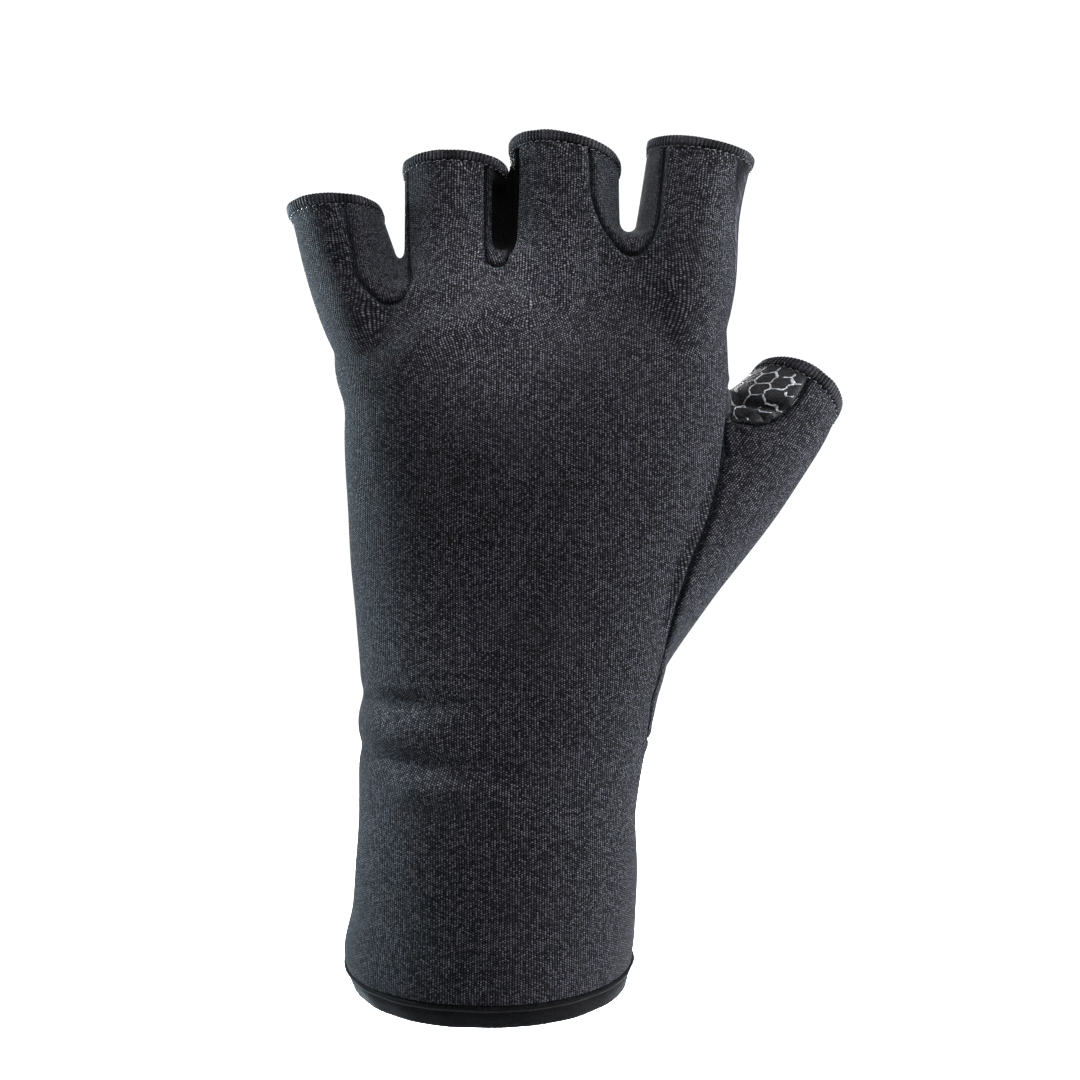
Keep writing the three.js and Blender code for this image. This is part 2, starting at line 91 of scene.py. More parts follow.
# %% Sections of the fingers: left edge x and z, right edge x and z, middle y, depth, pitch
FINGERS = {
    "pinky": np.array([
        [-49.9, 190.3, -27.6, 191.2, 0.0, 11.2, 4],
        [-45.8, 174.5, -22.9, 178.0, 0.0, 12.0, 3],
        [-41.0, 160.0, -17.5, 166.0, -1.0, 14.0, 0],
        [-33.0, 144.0, -13.0, 148.0, -1.0, 12.5, 0],
    ]),
    "ring": np.array([
        [-21.2, 200.8, 4.25, 200.4, 0.0, 12.4, 4],
        [-21.3, 180.0, 3.7, 180.0, 0.0, 13.4, 3],
        [-22.0, 163.0, 3.6, 164.0, -1.0, 15.4, 0],
        [-20.0, 144.0, 3.0, 144.0, -1.0, 14.5, 0],
    ]),
    "middle": np.array([
        [5.3, 206.6, 32.2, 201.4, 0.0, 12.8, 7],
        [5.1, 186.0, 32.5, 184.0, 0.0, 13.6, 3],
        [4.6, 166.0, 33.0, 167.0, -1.0, 15.6, 0],
        [6.0, 144.0, 31.0, 144.0, -1.0, 14.5, 0],
    ]),
    "index": np.array([
        [39.9, 207.6, 65.5, 202.8, 0.0, 12.4, -5],
        [37.0, 190.0, 62.3, 188.0, 0.0, 13.3, -2],
        [33.9, 170.0, 60.3, 168.0, -1.0, 15.2, 0],
        [32.0, 144.0, 54.5, 144.0, -1.0, 13.5, 0],
    ]),
    "thumb": np.array([
        [69.2, 153.0, 88.2, 140.4, 8.0, 11.8, 24],
        [63.6, 148.2, 84.6, 132.7, 7.0, 13.0, 18],
        [56.0, 141.7, 78.3, 123.1, 6.0, 14.4, 14],
        [46.6, 131.4, 71.6, 113.2, 5.0, 16.0, 10],
        [36.0, 118.0, 63.8, 102.9, 4.5, 17.4, 6],
        [27.0, 104.0, 55.6, 92.8, 4.0, 18.4, 3],
        [19.0, 90.0, 48.2, 82.6, 4.0, 19.0, 0],
        [14.0, 78.0, 43.6, 75.0, 4.0, 19.0, 0],
        [12.0, 66.0, 40.0, 66.0, 4.0, 18.0, 0],
    ]),
}

# %% The gaps between the fingers: middle x, half width, web height at back, middle, palm
GAPS = np.array([
    [-22.2, 3.0, 167.0, 176.0, 168.0],
    [4.4, 2.2, 175.4, 179.5, 175.0],
    [34.6, 3.0, 178.6, 184.2, 178.0],
])
# A gap opens out towards both faces of the hand: depth y and opening.
GAP_OPENINGS = np.array([
    [-30, 11.0], [-14, 8.0], [-11.5, 5.0], [-8, 2.0], [0, 0.0],
    [8, 2.0], [11.5, 5.0], [14, 8.0], [30, 11.0],
])
GAP_FACE = 14
GAP_TOP = 240


# %% Smooth curves through the rows of a table
def between(rows, place):
    place = np.atleast_1d(np.asarray(place, float))
    last = len(rows) - 1
    index = np.clip(np.floor(place).astype(int), 0, last - 1)
    t = (place - index)[:, None]
    before = rows[np.maximum(index - 1, 0)]
    start = rows[index]
    end = rows[index + 1]
    after = rows[np.minimum(index + 2, last)]
    leave = (end - before) / 2
    arrive = (after - start) / 2
    step = end - start
    curve = t**2 * (3 * step - 2 * leave - arrive) + t**3 * (leave + arrive - 2 * step)
    return start + t * leave + curve


# %% A section is a centre, two directions, a half width and two depths
def hand_sections(rows):
    count = len(rows)
    centre = np.stack([(rows[:, 1] + rows[:, 2]) / 2, np.zeros(count), rows[:, 0]], axis=1)
    return {
        "centre": centre,
        "across": np.tile([1.0, 0.0, 0.0], (count, 1)),
        "through": np.tile([0.0, 1.0, 0.0], (count, 1)),
        "half": (rows[:, 2] - rows[:, 1]) / 2,
        "front": rows[:, 3],
        "palm": rows[:, 4],
        "square": rows[:, 5],
    }


def finger_sections(rows):
    chord = np.stack([rows[:, 2] - rows[:, 0], np.zeros(len(rows)), rows[:, 3] - rows[:, 1]], axis=1)
    length = np.linalg.norm(chord, axis=1, keepdims=True)
    across = chord / length
    upwards = np.stack([-across[:, 2], np.zeros(len(rows)), across[:, 0]], axis=1)
    pitch = np.radians(rows[:, 6:7])
    through = np.array([[0.0, 1.0, 0.0]]) * np.cos(pitch) - upwards * np.sin(pitch)
    middle_x = (rows[:, 0] + rows[:, 2]) / 2
    middle_z = (rows[:, 1] + rows[:, 3]) / 2
    return {
        "centre": np.stack([middle_x, rows[:, 4], middle_z], axis=1),
        "across": across,
        "through": through,
        "half": length[:, 0] / 2,
        "front": rows[:, 5],
        "palm": rows[:, 5],
        "square": np.full(len(rows), FINGER_SQUARE),
    }


# %% Points round the sections, grown by an outset
def rings_of(sections, sides, outset=0.0):
    angle = np.linspace(0, 2 * math.pi, sides, endpoint=False)[None, :]
    power = 2 / sections["square"][:, None]
    outset = np.broadcast_to(np.asarray(outset, float).reshape(-1, 1), (len(power), 1))
    reach = np.where(np.sin(angle) < 0, sections["front"][:, None], sections["palm"][:, None])
    u = np.sign(np.cos(angle)) * np.abs(np.cos(angle)) ** power * (sections["half"][:, None] + outset)
    v = np.sign(np.sin(angle)) * np.abs(np.sin(angle)) ** power * (reach + outset)
    across = sections["across"][:, None, :] * u[:, :, None]
    through = sections["through"][:, None, :] * v[:, :, None]
    return sections["centre"][:, None, :] + across + through


def down_to_place(rows, distance):
    sections = finger_sections(rows[:2])
    step = np.linalg.norm(sections["centre"][0] - sections["centre"][1])
    return np.asarray(distance, float) / step


# %% Points and faces become a mesh, and anything with data becomes an object of the scene
def mesh_from(name, points, faces):
    mesh = bpy.data.meshes.new(name)
    mesh.from_pydata(np.asarray(points).reshape(-1, 3).tolist(), [], faces)
    mesh.validate()
    return mesh


def placed(name, data):
    made = bpy.data.objects.new(name, data)
    bpy.context.scene.collection.objects.link(made)
    return made


# %% Rings of points become a closed mesh
def loft(name, rings):
    count, sides = rings.shape[:2]
    faces = []
    for ring in range(count - 1):
        for side in range(sides):
            a = ring * sides + side
            b = ring * sides + (side + 1) % sides
            faces.append((a, b, b + sides, a + sides))
    faces.append(tuple(reversed(range(sides))))
    faces.append(tuple(range((count - 1) * sides, count * sides)))
    return placed(name, mesh_from(name, rings, faces))


# %% The trough between two fingers
def gap_form(gap, stations=33, arc=22):
    x, half, back, middle, palm = gap
    depth = np.linspace(-30, 30, stations)
    opening = np.interp(depth, GAP_OPENINGS[:, 0], GAP_OPENINGS[:, 1])
    slope = np.minimum(np.abs(depth) / GAP_FACE, 1) ** 2
    low = middle - (middle - np.where(depth < 0, back, palm)) * slope
    width = half + opening
    angle = np.linspace(math.pi, 0, arc)
    rings = []
    for y, w, bottom in zip(depth, width, low):
        outline = [(x - w, y, GAP_TOP)]
        outline += [(x + w * math.cos(a), y, bottom + w * (1 - math.sin(a))) for a in angle]
        outline.append((x + w, y, GAP_TOP))
        rings.append(outline)
    return loft("gap", np.array(rings))


# %% Forms of the hand and the fingers, cut and joined
def turned_out(made):
    bpy.context.view_layer.objects.active = made
    made.select_set(True)
    bpy.ops.object.mode_set(mode="EDIT")
    bpy.ops.mesh.select_all(action="SELECT")
    bpy.ops.mesh.normals_make_consistent(inside=False)
    bpy.ops.object.mode_set(mode="OBJECT")
    made.select_set(False)
    return made


def applied(made):
    graph = bpy.context.evaluated_depsgraph_get()
    mesh = bpy.data.meshes.new_from_object(made.evaluated_get(graph))
    made.modifiers.clear()
    made.data = mesh
    return made


def cut(made, cutters):
    for cutter in cutters:
        modifier = made.modifiers.new("cut", "BOOLEAN")
        modifier.operation = "DIFFERENCE"
        modifier.solver = "MANIFOLD"
        modifier.object = cutter
    applied(made)
    for cutter in cutters:
        bpy.data.objects.remove(cutter)
    return made


hand_form = turned_out(loft("hand_form", rings_of(
    hand_sections(between(HAND, np.linspace(0, len(HAND) - 1, 150))), 160)))
cut(hand_form, [turned_out(gap_form(gap)) for gap in GAPS])
print("hand form:", len(hand_form.data.vertices), "points after the finger gaps are cut")

finger_forms = []
for finger, rows in FINGERS.items():
    sections = finger_sections(between(rows, np.linspace(0, len(rows) - 1, 48)))
    finger_forms.append(turned_out(loft(f"{finger}_form", rings_of(sections, 72))))

# %% [markdown]
# ## One skin over all of it
# The forms overlap. A voxel remesh is a simple way to fuse overlapping closed forms
# into one even skin, because it keeps only what is outside. The fused skin shows small
# steps and sharp inner corners, so it is smoothed lightly all over and more strongly
# where it is hollow: at the webs, the finger roots and where the thumb leaves the hand.

# %% Fuse the forms
VOXEL = 0.8


def fused(forms, voxel):
    points = []
    faces = []
    for form in forms:
        start = len(points)
        points += [tuple(vertex.co) for vertex in form.data.vertices]
        faces += [tuple(start + corner for corner in face.vertices) for face in form.data.polygons]
        bpy.data.objects.remove(form)
    made = placed("skin", mesh_from("skin", points, faces))
    modifier = made.modifiers.new("fuse", "REMESH")
    modifier.mode = "VOXEL"
    modifier.voxel_size = voxel
    applied(made)
    found = np.empty(len(made.data.vertices) * 3)
    made.data.vertices.foreach_get("co", found)
    quads = np.array([tuple(face.vertices) for face in made.data.polygons])
    bpy.data.objects.remove(made)
    return found.reshape(-1, 3), quads


skin, skin_quads = fused([hand_form] + finger_forms, VOXEL)
print("skin:", len(skin), "points,", len(skin_quads), "quads")


# %% Quads become triangles along their shorter diagonal
def triangles_of(points, quads):
    first = np.linalg.norm(points[quads[:, 0]] - points[quads[:, 2]], axis=1)
    second = np.linalg.norm(points[quads[:, 1]] - points[quads[:, 3]], axis=1)
    a, b, c, d = quads.T
    short = (first <= second)[:, None]
    one = np.where(short, np.stack([a, b, c], axis=1), np.stack([a, b, d], axis=1))
    two = np.where(short, np.stack([a, c, d], axis=1), np.stack([b, c, d], axis=1))
    return np.concatenate([one, two])


triangles = triangles_of(skin, skin_quads)


# %% Helpers on the skin: edges, averages over neighbours, normals
def sides_of(faces):
    return np.concatenate([faces[:, [0, 1]], faces[:, [1, 2]], faces[:, [2, 0]]])


def edges_of(faces):
    return np.unique(np.sort(sides_of(faces), axis=1), axis=0)


def neighbour_mean(values, edges):
    count = len(values)
    start, end = edges.T
    weight = np.maximum(np.bincount(edges.ravel(), minlength=count).astype(float), 1)
    mean = np.zeros_like(values)
    for column in range(values.shape[1]):
        forward = np.bincount(start, weights=values[end, column], minlength=count)
        backward = np.bincount(end, weights=values[start, column], minlength=count)
        mean[:, column] = (forward + backward) / weight
    return mean


def normals_of(points, faces):
    corner = points[faces]
    face_normal = np.cross(corner[:, 1] - corner[:, 0], corner[:, 2] - corner[:, 0])
    total = np.zeros_like(points)
    for corners in faces.T:
        for axis in range(3):
            total[:, axis] += np.bincount(corners, weights=face_normal[:, axis], minlength=len(points))
    return total / np.maximum(np.linalg.norm(total, axis=1, keepdims=True), 1e-9)


def smoothed(points, edges, weight, steps, strength=0.5):
    for _ in range(steps):
        points = points + (neighbour_mean(points, edges) - points) * weight * strength
    return points


# %% Smooth lightly all over, then more where the skin is hollow
edges = edges_of(triangles)
everywhere = np.ones((len(skin), 1))
for _ in range(5):
    skin = smoothed(skin, edges, everywhere, 1, 0.5)
    skin = smoothed(skin, edges, everywhere, 1, -0.52)
normals = normals_of(skin, triangles)
hollow = np.sum((neighbour_mean(skin, edges) - skin) * normals, axis=1, keepdims=True)
hollow_mask = np.clip((hollow - 0.03) / 0.05, 0, 1)
for _ in range(8):
    hollow_mask = np.maximum(hollow_mask, neighbour_mean(hollow_mask, edges))
    hollow_mask = 0.5 * hollow_mask + 0.5 * neighbour_mean(hollow_mask, edges)
hollow_mask = np.clip(hollow_mask * 1.6, 0, 1)
skin = smoothed(skin, edges, hollow_mask, 22, 0.6)
normals = normals_of(skin, triangles)
print("share of the skin that was smoothed more:", round(float(hollow_mask.mean()), 3))

# %% [markdown]
# ## Small wrinkles need a finer skin
# Where the thumb leaves the hand, the printed cloth is pressed into small wrinkles
# under one deep crease. The even skin is too coarse for them, so it is split along two
# sets of parallel lines there. The same splitting later cuts the skin along its seams.

# %% Split triangles where a field crosses zero
def split(points, faces, field):
    field = np.where(np.abs(field) < 1e-5, 1e-5, field)
    side = field > 0
    count = len(points)
    pairs = edges_of(faces)
    crossing = pairs[side[pairs[:, 0]] != side[pairs[:, 1]]]
    if not len(crossing):
        return points, faces
    start = field[crossing[:, 0]]
    share = start / (start - field[crossing[:, 1]])
    share = np.clip(share, 0.02, 0.98)[:, None]
    added = points[crossing[:, 0]] * (1 - share) + points[crossing[:, 1]] * share
    keys = crossing[:, 0].astype(np.int64) * count + crossing[:, 1]

    def between_corners(one, two):
        low = np.minimum(one, two).astype(np.int64)
        high = np.maximum(one, two)
        return count + np.searchsorted(keys, low * count + high)

    positive = side[faces].sum(axis=1)
    mixed = (positive == 1) | (positive == 2)
    kept = faces[~mixed]
    cut_faces = faces[mixed]
    lone_is_positive = positive[mixed] == 1
    corner_side = side[cut_faces] == lone_is_positive[:, None]
    turn = np.argmax(corner_side, axis=1)
    order = (turn[:, None] + np.arange(3)) % 3
    a, b, c = np.take_along_axis(cut_faces, order, axis=1).T
    ab = between_corners(a, b)
    ca = between_corners(c, a)
    made = [np.stack([a, ab, ca], axis=1), np.stack([ab, b, c], axis=1), np.stack([ab, c, ca], axis=1)]
    return np.concatenate([points, added]), np.concatenate([kept] + made)


# %% A finer skin at the root of the thumb's inner side
WRINKLE_BOX = ((55, -22, 130), (80, 9, 150))
WRINKLE_STEP = 0.55


def in_box(points, box):
    low, high = np.array(box[0]), np.array(box[1])
    return np.all((points > low) & (points < high), axis=1)


for direction in ((1, 0, 1), (1, 0, -1), (0, 1, 0)):
    lines = np.sin(skin @ np.array(direction, float) * math.pi / WRINKLE_STEP)
    skin, triangles = split(skin, triangles, np.where(in_box(skin, WRINKLE_BOX), lines, 1.0))
edges = edges_of(triangles)
skin = smoothed(skin, edges, in_box(skin, WRINKLE_BOX)[:, None], 2, 0.4)
normals = normals_of(skin, triangles)
print("skin with a finer patch:", len(skin), "points")

# %% [markdown]
# ## Folds and fullness
# A worn glove isn't smooth: the wrist gathers in soft creases, strongest on the little
# finger's side, and the knuckles fill the cloth. Each fold is a short line on the back
# or palm, and the skin moves along its normal by a soft bell round that line. Sculpting
# by hand would also do, but lines with a height and a width can be set against a photo.

# %% Distance from points to a line of points in the plane of the hand
def distance_to_line(flat, line):
    line = np.asarray(line, float)
    best = np.full(len(flat), 1e9)
    place = np.zeros(len(flat))
    for index in range(len(line) - 1):
        start = line[index]
        along = line[index + 1] - start
        share = np.clip(((flat - start) @ along) / (along @ along), 0, 1)
        gap = np.linalg.norm(flat - start - share[:, None] * along, axis=1)
        nearer = gap < best
        best = np.where(nearer, gap, best)
        place = np.where(nearer, (index + share) / (len(line) - 1), place)
    return best, place


def smoothstep(low, high, value):
    t = np.clip((value - low) / (high - low), 0, 1)
    return t * t * (3 - 2 * t)


# %% The folds: side, line of x and z, height, width, fade at the start and at the end
FOLDS = [
    ("back", [(-44, 71.0), (-27, 70.4), (-10, 70.6), (2, 72.0)], -2.0, 2.6, 0.0, 0.6),
    ("back", [(-44, 64.5), (-20, 64.0), (0, 64.5)], 1.3, 3.8, 0.0, 0.7),
    ("back", [(-44, 57.6), (-24, 57.6), (-4, 56.8), (12, 57.0)], -1.7, 2.4, 0.0, 0.5),
    ("back", [(-26, 51.5), (-8, 51.0), (14, 52.0)], 1.7, 3.2, 0.3, 0.6),
    ("back", [(20, 71.5), (34, 70.0), (44, 69.0)], -0.5, 3.0, 0.6, 0.0),
    ("back", [(24, 60.0), (44, 59.5)], 0.3, 4.0, 0.6, 0.0),
    ("back", [(-41, 149.0), (-36, 146.0), (-30, 144.5)], -0.8, 3.2, 0.0, 0.7),
    ("back", [(-28, 151.0), (-15, 155.0), (-3, 159.5), (11, 166.0)], 2.1, 5.2, 0.4, 0.12),
    ("back", [(8, 165.0), (24, 166.0)], 0.5, 6.0, 0.4, 0.5),
    ("back", [(18, 150.0), (6, 147.0), (-12, 142.0)], -0.6, 7.0, 0.5, 0.5),
    ("back", [(34, 168.0), (50, 166.0)], 0.4, 6.0, 0.5, 0.4),
    ("back", [(58.6, 142.6), (63.0, 142.3), (69.0, 141.2), (74.0, 140.6)], -2.5, 1.5, 0.25, 0.2),
    ("back", [(59.0, 140.3), (61.0, 140.6), (66.0, 139.4), (70.0, 138.8)], 1.0, 0.9, 0.2, 0.2),
    ("back", [(58.0, 139.2), (61.5, 138.0), (64.0, 138.6)], -0.7, 0.55, 0.2, 0.2),
    ("back", [(61.0, 137.0), (64.0, 136.6), (66.5, 138.4)], 0.6, 0.7, 0.2, 0.2),
    ("back", [(64.5, 140.0), (66.5, 138.2), (67.5, 137.0)], -0.6, 0.5, 0.2, 0.2),
    ("back", [(68.0, 140.2), (69.0, 138.6), (69.5, 137.6)], 0.5, 0.6, 0.2, 0.2),
    ("palm", [(44, 71.0), (20, 70.0), (-20, 70.5), (-44, 71.0)], -0.8, 2.6, 0.0, 0.0),
    ("palm", [(44, 57.5), (18, 57.0), (-20, 57.6), (-44, 57.6)], -0.7, 2.4, 0.0, 0.0),
    ("palm", [(44, 64.5), (0, 63.5), (-44, 64.5)], 0.6, 3.6, 0.0, 0.0),
    ("palm", [(52, 140.0), (34, 132.0), (20, 116.0), (14, 96.0)], -1.0, 3.0, 0.3, 0.5),
    ("palm", [(-34, 150.0), (-10, 144.0), (16, 148.0), (30, 156.0)], -0.7, 3.2, 0.3, 0.4),
    ("palm", [(30, 96.0), (34, 106.0), (42, 116.0)], 1.2, 9.0, 0.6, 0.6),
    ("palm", [(-20, 96.0), (-18, 118.0)], 0.9, 10.0, 0.6, 0.6),
]


def folded(points, outward):
    moved = np.zeros(len(points))
    flat = points[:, [0, 2]]
    for side, line, height, width, fade_start, fade_end in FOLDS:
        facing = outward[:, 1] if side == "palm" else -outward[:, 1]
        gap, place = distance_to_line(flat, line)
        bell = np.exp(-((gap / width) ** 2))
        fade = smoothstep(-0.01, max(fade_start, 0.0001), place) if fade_start else 1.0
        fade = fade * (1 - smoothstep(1 - fade_end, 1.01, place)) if fade_end else fade
        moved += height * bell * fade * smoothstep(-0.25, 0.75, facing)
    return moved


WAVES = 14
WAVE_HEIGHT = 0.035


def undulation(points):
    waves = np.random.default_rng(SEED)
    moved = np.zeros(len(points))
    for _ in range(WAVES):
        direction = waves.normal(size=3)
        direction *= waves.uniform(0.12, 0.34) / np.linalg.norm(direction)
        moved += np.sin(points @ direction + waves.uniform(0, 6.28)) * WAVE_HEIGHT
    return moved


skin = skin + normals * (folded(skin, normals) + undulation(skin))[:, None]


# %% The ring and middle finger press together, so their gap is a dark groove; the gusset's finish adds painted shade deep inside it
SLOT_LOW = 172
SLOT_OPENED = 1.5
SLOT_SUNK = 1.6
SLOT_CLOSED = 0.52


def pressed(points):
    x, y, z = points.T
    ring_side = (x > 0.2) & (x < 4.6) & (z > SLOT_LOW)
    tall = smoothstep(176, 184, z) * (1 - smoothstep(193.5, 196.5, z))
    front = smoothstep(0.6, 2.2, x) * (1 - smoothstep(-3.0, 1.0, y)) * tall
    back_of_gap = np.exp(-((y - 5.0) / 4.0) ** 2) * tall
    middle_side = (x > 4.6) & (x < 9) & (z > SLOT_LOW)
    closed = SLOT_CLOSED * back_of_gap
    moved = np.zeros_like(points)
    moved[:, 0] += np.where(ring_side, closed * smoothstep(2.2, 3.4, x) - SLOT_OPENED * front, 0)
    moved[:, 1] += np.where(ring_side, SLOT_SUNK * front, 0)
    moved[:, 0] -= np.where(middle_side, closed * (1 - smoothstep(5.8, 7.0, x)), 0)
    return moved


skin = skin + pressed(skin)
round_slot = (skin[:, 2:3] > SLOT_LOW) & (np.abs(skin[:, :1] - 3) < 6)
skin = smoothed(skin, edges, round_slot, 3, 0.4)
normals = normals_of(skin, triangles)
print("deepest fold:", min(fold[2] for fold in FOLDS), "mm")

# %% [markdown]
# ## Cutting the skin along its seams
# The glove is sewn from flat pieces: the back, the palm with its grip print, the thumb's
# outer side and three narrow gussets between the fingers. A boolean would leave ragged
# edges on a dense skin, so each seam is a field that is positive on one side, and the
# triangles are split exactly where the field is zero.


# %% Field of an outline in the plane of the hand, positive inside
def inside_outline(flat, outline):
    outline = np.asarray(outline, float)
    closed = np.vstack([outline, outline[:1]])
    gap, _ = distance_to_line(flat, closed)
    x, z = flat.T
    inside = np.zeros(len(flat), bool)
    for (x0, z0), (x1, z1) in zip(closed[:-1], closed[1:]):
        if z0 == z1:
            continue
        crosses = (z0 > z) != (z1 > z)
        inside ^= crosses & (x < (x1 - x0) * (z - z0) / (z1 - z0) + x0)
    return np.where(inside, gap, -gap)


# %% The seams of the gussets and of the panels
GUSSET_SEAMS = {
    "fourchette_pinky_ring": [
        (-38.6, 215), (-34.6, 188.3), (-32.7, 180), (-30.8, 171), (-26.5, 165.8),
        (-23.4, 164.3), (-20.2, 165.4), (-18.6, 170.4), (-20.2, 178), (-21.4, 188), (-21.8, 215),
    ],
    "fourchette_ring_middle": [
        (-0.6, 215), (-0.5, 196.2), (-0.5, 176.5), (0.4, 174.2), (2.5, 173.3),
        (4.4, 174.4), (5.2, 178), (5.6, 192.1), (5.6, 215),
    ],
    "fourchette_middle_index": [
        (24.3, 215), (24.5, 199.5), (25.4, 189.5), (28.8, 181.5), (32.0, 177.4),
        (35.0, 176.4), (37.9, 178.3), (40.4, 184), (41.7, 195.7), (43.6, 215),
    ],
}
GUSSET_SPREAD = 3.2
GUSSET_RISE = 8
# Height, x of the seam on the thumb side, how far the back comes round each side.
BACK_EDGE = np.array([
    [-10, 38.3, 8, 8], [59.5, 38.3, 7, 8], [70, 39.5, 6, 8], [83, 43.0, 5, 8],
    [93, 45.3, 4, 8], [103, 48.6, 4, 8], [113, 52.8, 4, 7], [123, 55.8, 4, 7],
    [133, 57.3, 4, 7], [145.6, 58.6, 4, 6], [150, 61.5, 4, 6], [160, 62.5, 5, 5],
    [190, 120, 5, 5], [230, 120, 5, 5],
])
LEVEL_SEAM = 59.5
THUMB_PANEL_EDGE = [
    (20, 59.5), (120, 59.5), (120, 175), (90.5, 175), (84.4, 158), (79.4, 149.0),
    (76.2, 143.6), (72.4, 139.2), (68.2, 136.8), (64.6, 136.0), (61.0, 137.0),
    (58.0, 138.7), (57.4, 137.9), (57.4, 128.0), (20, 118),
]
THUMB_PANEL_PALM_Y = 10


def rounded(line, steps=8):
    rows = np.asarray(line, float)
    return between(rows, np.linspace(0, len(rows) - 1, (len(rows) - 1) * steps + 1))


def gusset_field(points, seam):
    seam = rounded(seam)
    lowest = seam[:, 1].min()
    depth = np.abs(points[:, 1])
    spread = GUSSET_SPREAD * np.clip((points[:, 2] - lowest) / GUSSET_RISE, 0, 1)
    spread = spread * np.clip((9 - depth) / 6, 0, 1)
    return inside_outline(points[:, [0, 2]], seam) + spread


def back_field(points):
    x, y, z = points.T
    seam_x = np.interp(z, BACK_EDGE[:, 0], BACK_EDGE[:, 1])
    side = np.interp(z, BACK_EDGE[:, 0], BACK_EDGE[:, 2])
    pinky_side = np.interp(z, BACK_EDGE[:, 0], BACK_EDGE[:, 3])
    round_side = np.where(x < 10, pinky_side, side) - y
    return np.minimum(round_side, np.maximum(LEVEL_SEAM - z, seam_x - x))


def thumb_field(points):
    inside = inside_outline(points[:, [0, 2]], THUMB_PANEL_EDGE)
    return np.minimum(inside, THUMB_PANEL_PALM_Y - points[:, 1])


FIELDS = {
    name: (lambda points, seam=seam: gusset_field(points, seam))
    for name, seam in GUSSET_SEAMS.items()
}
FIELDS["back_panel"] = back_field
FIELDS["thumb_panel"] = thumb_field


# %% Field of the openings: positive beyond a binding or inside the hem
def opening_field(points, reach):
    field = HEM_HEIGHT + reach - points[:, 2]
    for rows in FINGERS.values():
        section = finger_sections(between(rows, down_to_place(rows, BINDING_HEIGHT + reach)))
        centre, across, through = (section[key][0] for key in ("centre", "across", "through"))
        upwards = -np.cross(across, through)
        upwards = upwards * np.sign(upwards[2])
        offset = points - centre
        u = np.abs(offset @ across) / section["half"][0]
        v = np.abs(offset @ through) / section["front"][0]
        near = (u**FINGER_SQUARE + v**FINGER_SQUARE) ** (1 / FINGER_SQUARE) < 1.06
        height = offset @ upwards
        field = np.where(near & (height > -3), np.maximum(field, height), field)
    return field


# %% Split at the openings, then along every seam
OPENING_REACH = 0.15
skin, triangles = split(skin, triangles, opening_field(skin, OPENING_REACH))
centres = skin[triangles].mean(axis=1)
triangles = triangles[opening_field(centres, OPENING_REACH) < 0]
for field in FIELDS.values():
    skin, triangles = split(skin, triangles, field(skin))


def labels_of(points, faces):
    middle = points[faces].mean(axis=1)
    label = np.full(len(faces), len(FIELDS))
    for index, field in reversed(list(enumerate(FIELDS.values()))):
        label = np.where(field(middle) > 0, index, label)
    return label


used = np.zeros(len(skin), bool)
used[triangles] = True
renumbered = np.cumsum(used) - 1
skin = skin[used]
triangles = renumbered[triangles]
labels = labels_of(skin, triangles)
PIECES = list(FIELDS) + ["palm_panel"]
print("triangles of each piece:", dict(zip(PIECES, np.bincount(labels).tolist())))

# %% [markdown]
# ## Seams draw the cloth in
# Where two pieces are sewn with their edges turned in, the cloth sinks to the stitches
# and rounds up beside them. The distance to the nearest seam gives that profile. The
# skin gets a few more cuts beside each seam first, so that the groove stays crisp.


# %% Edges between two pieces, and the distance from every point to them
def seam_edges(faces, label):
    owner = np.tile(label, 3)
    low = np.sort(sides_of(faces), axis=1).astype(np.int64)
    keys = low[:, 0] * (faces.max() + 1) + low[:, 1]
    order = np.argsort(keys, kind="stable")
    keys, owner, low = keys[order], owner[order], low[order]
    same = keys[:-1] == keys[1:]
    differs = owner[:-1] != owner[1:]
    return low[:-1][same & differs]


def distances_to(points, seam_points, far=6.0):
    tree = KDTree(len(seam_points))
    for index, point in enumerate(seam_points):
        tree.insert(point, index)
    tree.balance()
    return np.array([min(tree.find(point)[2], far) for point in points.tolist()])


found = seam_edges(triangles, labels)
seam_points = np.concatenate([skin[found[:, 0]], skin[found[:, 1]], skin[found].mean(axis=1)])
distance = distances_to(skin, seam_points.tolist())
for reach in (0.35, 0.8, 1.5):
    before = len(skin)
    skin, triangles = split(skin, triangles, distance - reach)
    distance = np.concatenate([distance, np.full(len(skin) - before, reach)])
labels = labels_of(skin, triangles)
print("seam points:", len(seam_points), "skin points:", len(skin))

# %% The groove of a seam, the swell beside it, and the skin inside the cloth
SEAM_DEPTH = 0.75
SEAM_WIDTH = 0.6
SWELL_RISE = 0.2
SWELL_AT = 1.8
normals = normals_of(skin, triangles)
groove = -SEAM_DEPTH * np.exp(-((distance / SEAM_WIDTH) ** 2))
groove += SWELL_RISE * np.exp(-((distance - SWELL_AT) ** 2))
outer = skin + normals * groove[:, None]
inner = skin - normals * WALL

# %% [markdown]
# ## Sewn pieces with real thickness
# A Solidify modifier would give every piece its thickness, but it also closes the
# openings badly where seams meet. Here each piece takes its part of the outer skin, the
# same part of the inner skin and a wall along its edges. The edges draw back by a hair,
# so that neighbouring pieces don't share a face.

# %% A closed piece from its part of the skin
EDGE_BACK = 0.07


def border_loops(faces):
    keys = set(map(tuple, sides_of(faces).tolist()))
    return np.array([pair for pair in keys if (pair[1], pair[0]) not in keys])


